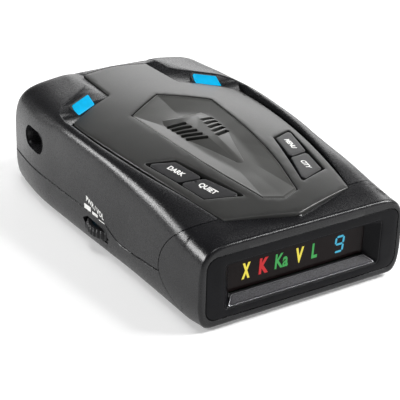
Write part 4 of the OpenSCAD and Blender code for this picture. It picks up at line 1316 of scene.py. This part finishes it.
def build_window():
    x0, x1, z0, z1 = 11.7, 21.3, 13.2, 20.8
    xs, zs = np.linspace(x0, x1, 17), np.linspace(z0, z1, 13)
    outline = rounded([[x0, z0], [x1, z0], [x1, z1], [x0, z1]], 1.0, 5)
    back = np.array([[rear_y(x, z) for z in zs] for x in xs])

    def top(x, z):
        i = np.clip(np.searchsorted(xs, x) - 1, 0, len(xs) - 2)
        j = np.clip(np.searchsorted(zs, z) - 1, 0, len(zs) - 2)
        u, v = (x - xs[i]) / (xs[1] - xs[0]), (z - zs[j]) / (zs[1] - zs[0])
        return ((1 - u) * (1 - v) * back[i, j] + u * (1 - v) * back[i + 1, j]
                + (1 - u) * v * back[i, j + 1] + u * v * back[i + 1, j + 1]) + 0.12

    v, f = plate(outline, [], top, 2.0, 0.12, step=0.5, grid=0.9)
    m = axes((1, 0, 0), (0, 0, 1), (0, 1, 0))
    make("sensor_window", moved(v, m), f, "window", replaces=("laser_window",), slot="window_red")


def side_x(z, y):
    """Half width of the case at height z."""
    s = section(y)
    line = half_outline(s)
    part = line[TOP_N:TOP_N + SIDE_N + BELLY_N - 2]
    order = np.argsort(part[:, 1])
    return np.interp(z, part[order, 1], part[order, 0])


def on_left_wall(pts):
    """The points laid on the case's left wall, from a plane at x = -35.3."""
    out = np.array(pts)
    for i, (x, y, z) in enumerate(pts):
        out[i, 0] = -side_x(z, y) - 0.02 + (x + 35.3)
    return out


def build_labels():
    lie = axes((0, -0.86, 0), (0, 0, 1), (-1, 0, 0), (-35.3, -2.9, 13.9))
    lettering("wheel_words", "PWR / VOL", 2.3, lie, "case", bold=0.06, slot="ribbon_white",
              project=lambda p: on_left_wall(shear_z(p, 0.24)))
    parts = []
    for y0, y1, high, z in ((3.0, -0.7, 1.5, 11.95), (-1.5, -4.6, 0.9, 11.45),
                            (-5.2, -8.3, 0.3, 10.7)):
        parts.append(block([-35.315, y1, z - high / 2], [-35.285, y0, z + high / 2]))
    v, f = joined(*parts)
    make("wheel_wedge", on_left_wall(v), f, "print", slot="ribbon_white")


def shear_z(pts, slope):
    """Tilts a line of words that runs along Y."""
    out = np.array(pts)
    out[:, 2] += slope * (out[:, 1] + 1.2)
    return out


# ---- Parts that keep their CAD shape ----------------------------------------------

INNER = {
    "rubber": ("key_mat_left", "key_mat_right"),
    "board": ("key_board_left", "key_board_right", "display_board", "main_board", "socket_board",
              "mixer_board"),
    "steel": ("volume_shaft", "socket_shell", "latch_spring", "speaker_frame"),
    "gold": ("socket_contacts",),
    "cast": ("horn_antenna",),
    "chip": ("processor_chip", "display_module", "volume_pot", "socket_tongue", "latch_bar",
             "laser_sensor"),
    "sleeve": ("capacitors",),
    "paper": ("speaker_cone",),
    "foam": ("speaker_gasket",),
    "optic": ("laser_lens",),
    "led": ("alert_leds",),
    "print": ("display_ribbon",),
    "black_steel": ("case_screws", "board_screws"),
    "magnet": ("speaker_magnet",),
    "tin": ("mixer_can",),
}


def dress_inner():
    for mat, names in INNER.items():
        for name in names:
            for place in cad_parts[name].material_slots:
                place.material = M[mat]


# ---- Build ------------------------------------------------------------------------

build_upper()
build_lower()
build_collar()
build_panel()
build_grille()
build_keys()
build_bezel()
build_ledge()
build_lens()
build_glyphs()
build_alerts()
build_surrounds()
build_socket()
build_wheel()
build_button()
build_window()
build_labels()
dress_inner()

# ---- Stage ------------------------------------------------------------------------


def studio():
    # The sheet of paper under the object.
    mesh = bpy.data.meshes.new("floor")
    size = 4.0
    mesh.from_pydata([(-size, -size, 0), (size, -size, 0), (size, size, 0), (-size, size, 0)], [],
                     [(0, 1, 2, 3)])
    floor = placed("floor", mesh)
    mat, tree, shader = base_material("paper_white", (0.85, 0.85, 0.85), 0.95, spec=0.1)
    shader.inputs["Emission Color"].default_value = (1, 1, 1, 1)
    shader.inputs["Emission Strength"].default_value = 0.20
    mesh.materials.append(mat)
    floor.location.z = -0.0002

    def area(name, place, aim, size, power):
        light = bpy.data.lights.new(name, "AREA")
        light.shape = "RECTANGLE"
        light.size, light.size_y = size
        light.energy = power
        obj = placed(name, light)
        obj.location = place
        obj.rotation_euler = (Vector(aim) - Vector(place)).to_track_quat("-Z", "Y").to_euler()

    area("overhead", (-0.10, -0.05, 1.3), (0, 0, 0), (0.5, 0.5), 6.0)
    area("right_key", (0.80, -0.30, 0.62), (0, 0, 0.01), (0.35, 0.35), 10.0)
    area("low_right", (0.72, 0.90, 0.40), (0, 0, 0.02), (0.8, 0.35), 2.6)
    area("back_left", (-0.64, 0.58, 0.36), (0, 0, 0.02), (0.22, 0.30), 6.5)
    area("front_rim", (0.45, -0.40, 0.68), (0, 0, 0.02), (0.14, 0.14), 2.6)

    # Light from all round: bright low down, dark overhead.
    world = bpy.data.worlds.new("studio")
    bpy.context.scene.world = world
    world.use_nodes = True
    tree = world.node_tree
    where = node(tree, "ShaderNodeTexCoord")
    split = node(tree, "ShaderNodeSeparateXYZ")
    link(tree, where, "Generated", split, "Vector")
    stops = ((0.0, 1.0), (0.30, 0.85), (0.45, 0.42), (0.62, 0.12), (1.0, 0.05))
    glow = ramp(tree, split, "Z", *((at, (value, value, value)) for at, value in stops))
    link(tree, glow, "Color", tree.nodes["Background"], "Color")
    # The side behind the object's left stays dark.
    aside = node(tree, "ShaderNodeVectorMath", operation="DOT_PRODUCT")
    aside.inputs[1].default_value = (-0.68, 0.73, 0)
    link(tree, where, "Generated", aside, "Vector")
    shade = map_range(tree, aside, "Value", 0.25, 0.75, 0.8, 0.10, interpolation_type="SMOOTHSTEP")
    link(tree, shade, "Result", tree.nodes["Background"], "Strength")


def camera():
    cam = bpy.data.cameras.new("camera")
    cam.lens = 114.68
    cam.sensor_width = 36
    obj = placed("camera", cam)
    right = Vector((0.84514, -0.53385, 0.02712))
    down = Vector((-0.21639, -0.38808, -0.89586))
    ahead = Vector((0.48879, 0.75126, -0.4435))
    m = Matrix((right, -down, -ahead)).transposed().to_4x4()
    m.translation = Vector((-187.3, -292.6, 178.4)) * MM
    obj.matrix_world = m
    bpy.context.scene.camera = obj
    bpy.context.scene.view_settings.view_transform = "Standard"


studio()
camera()
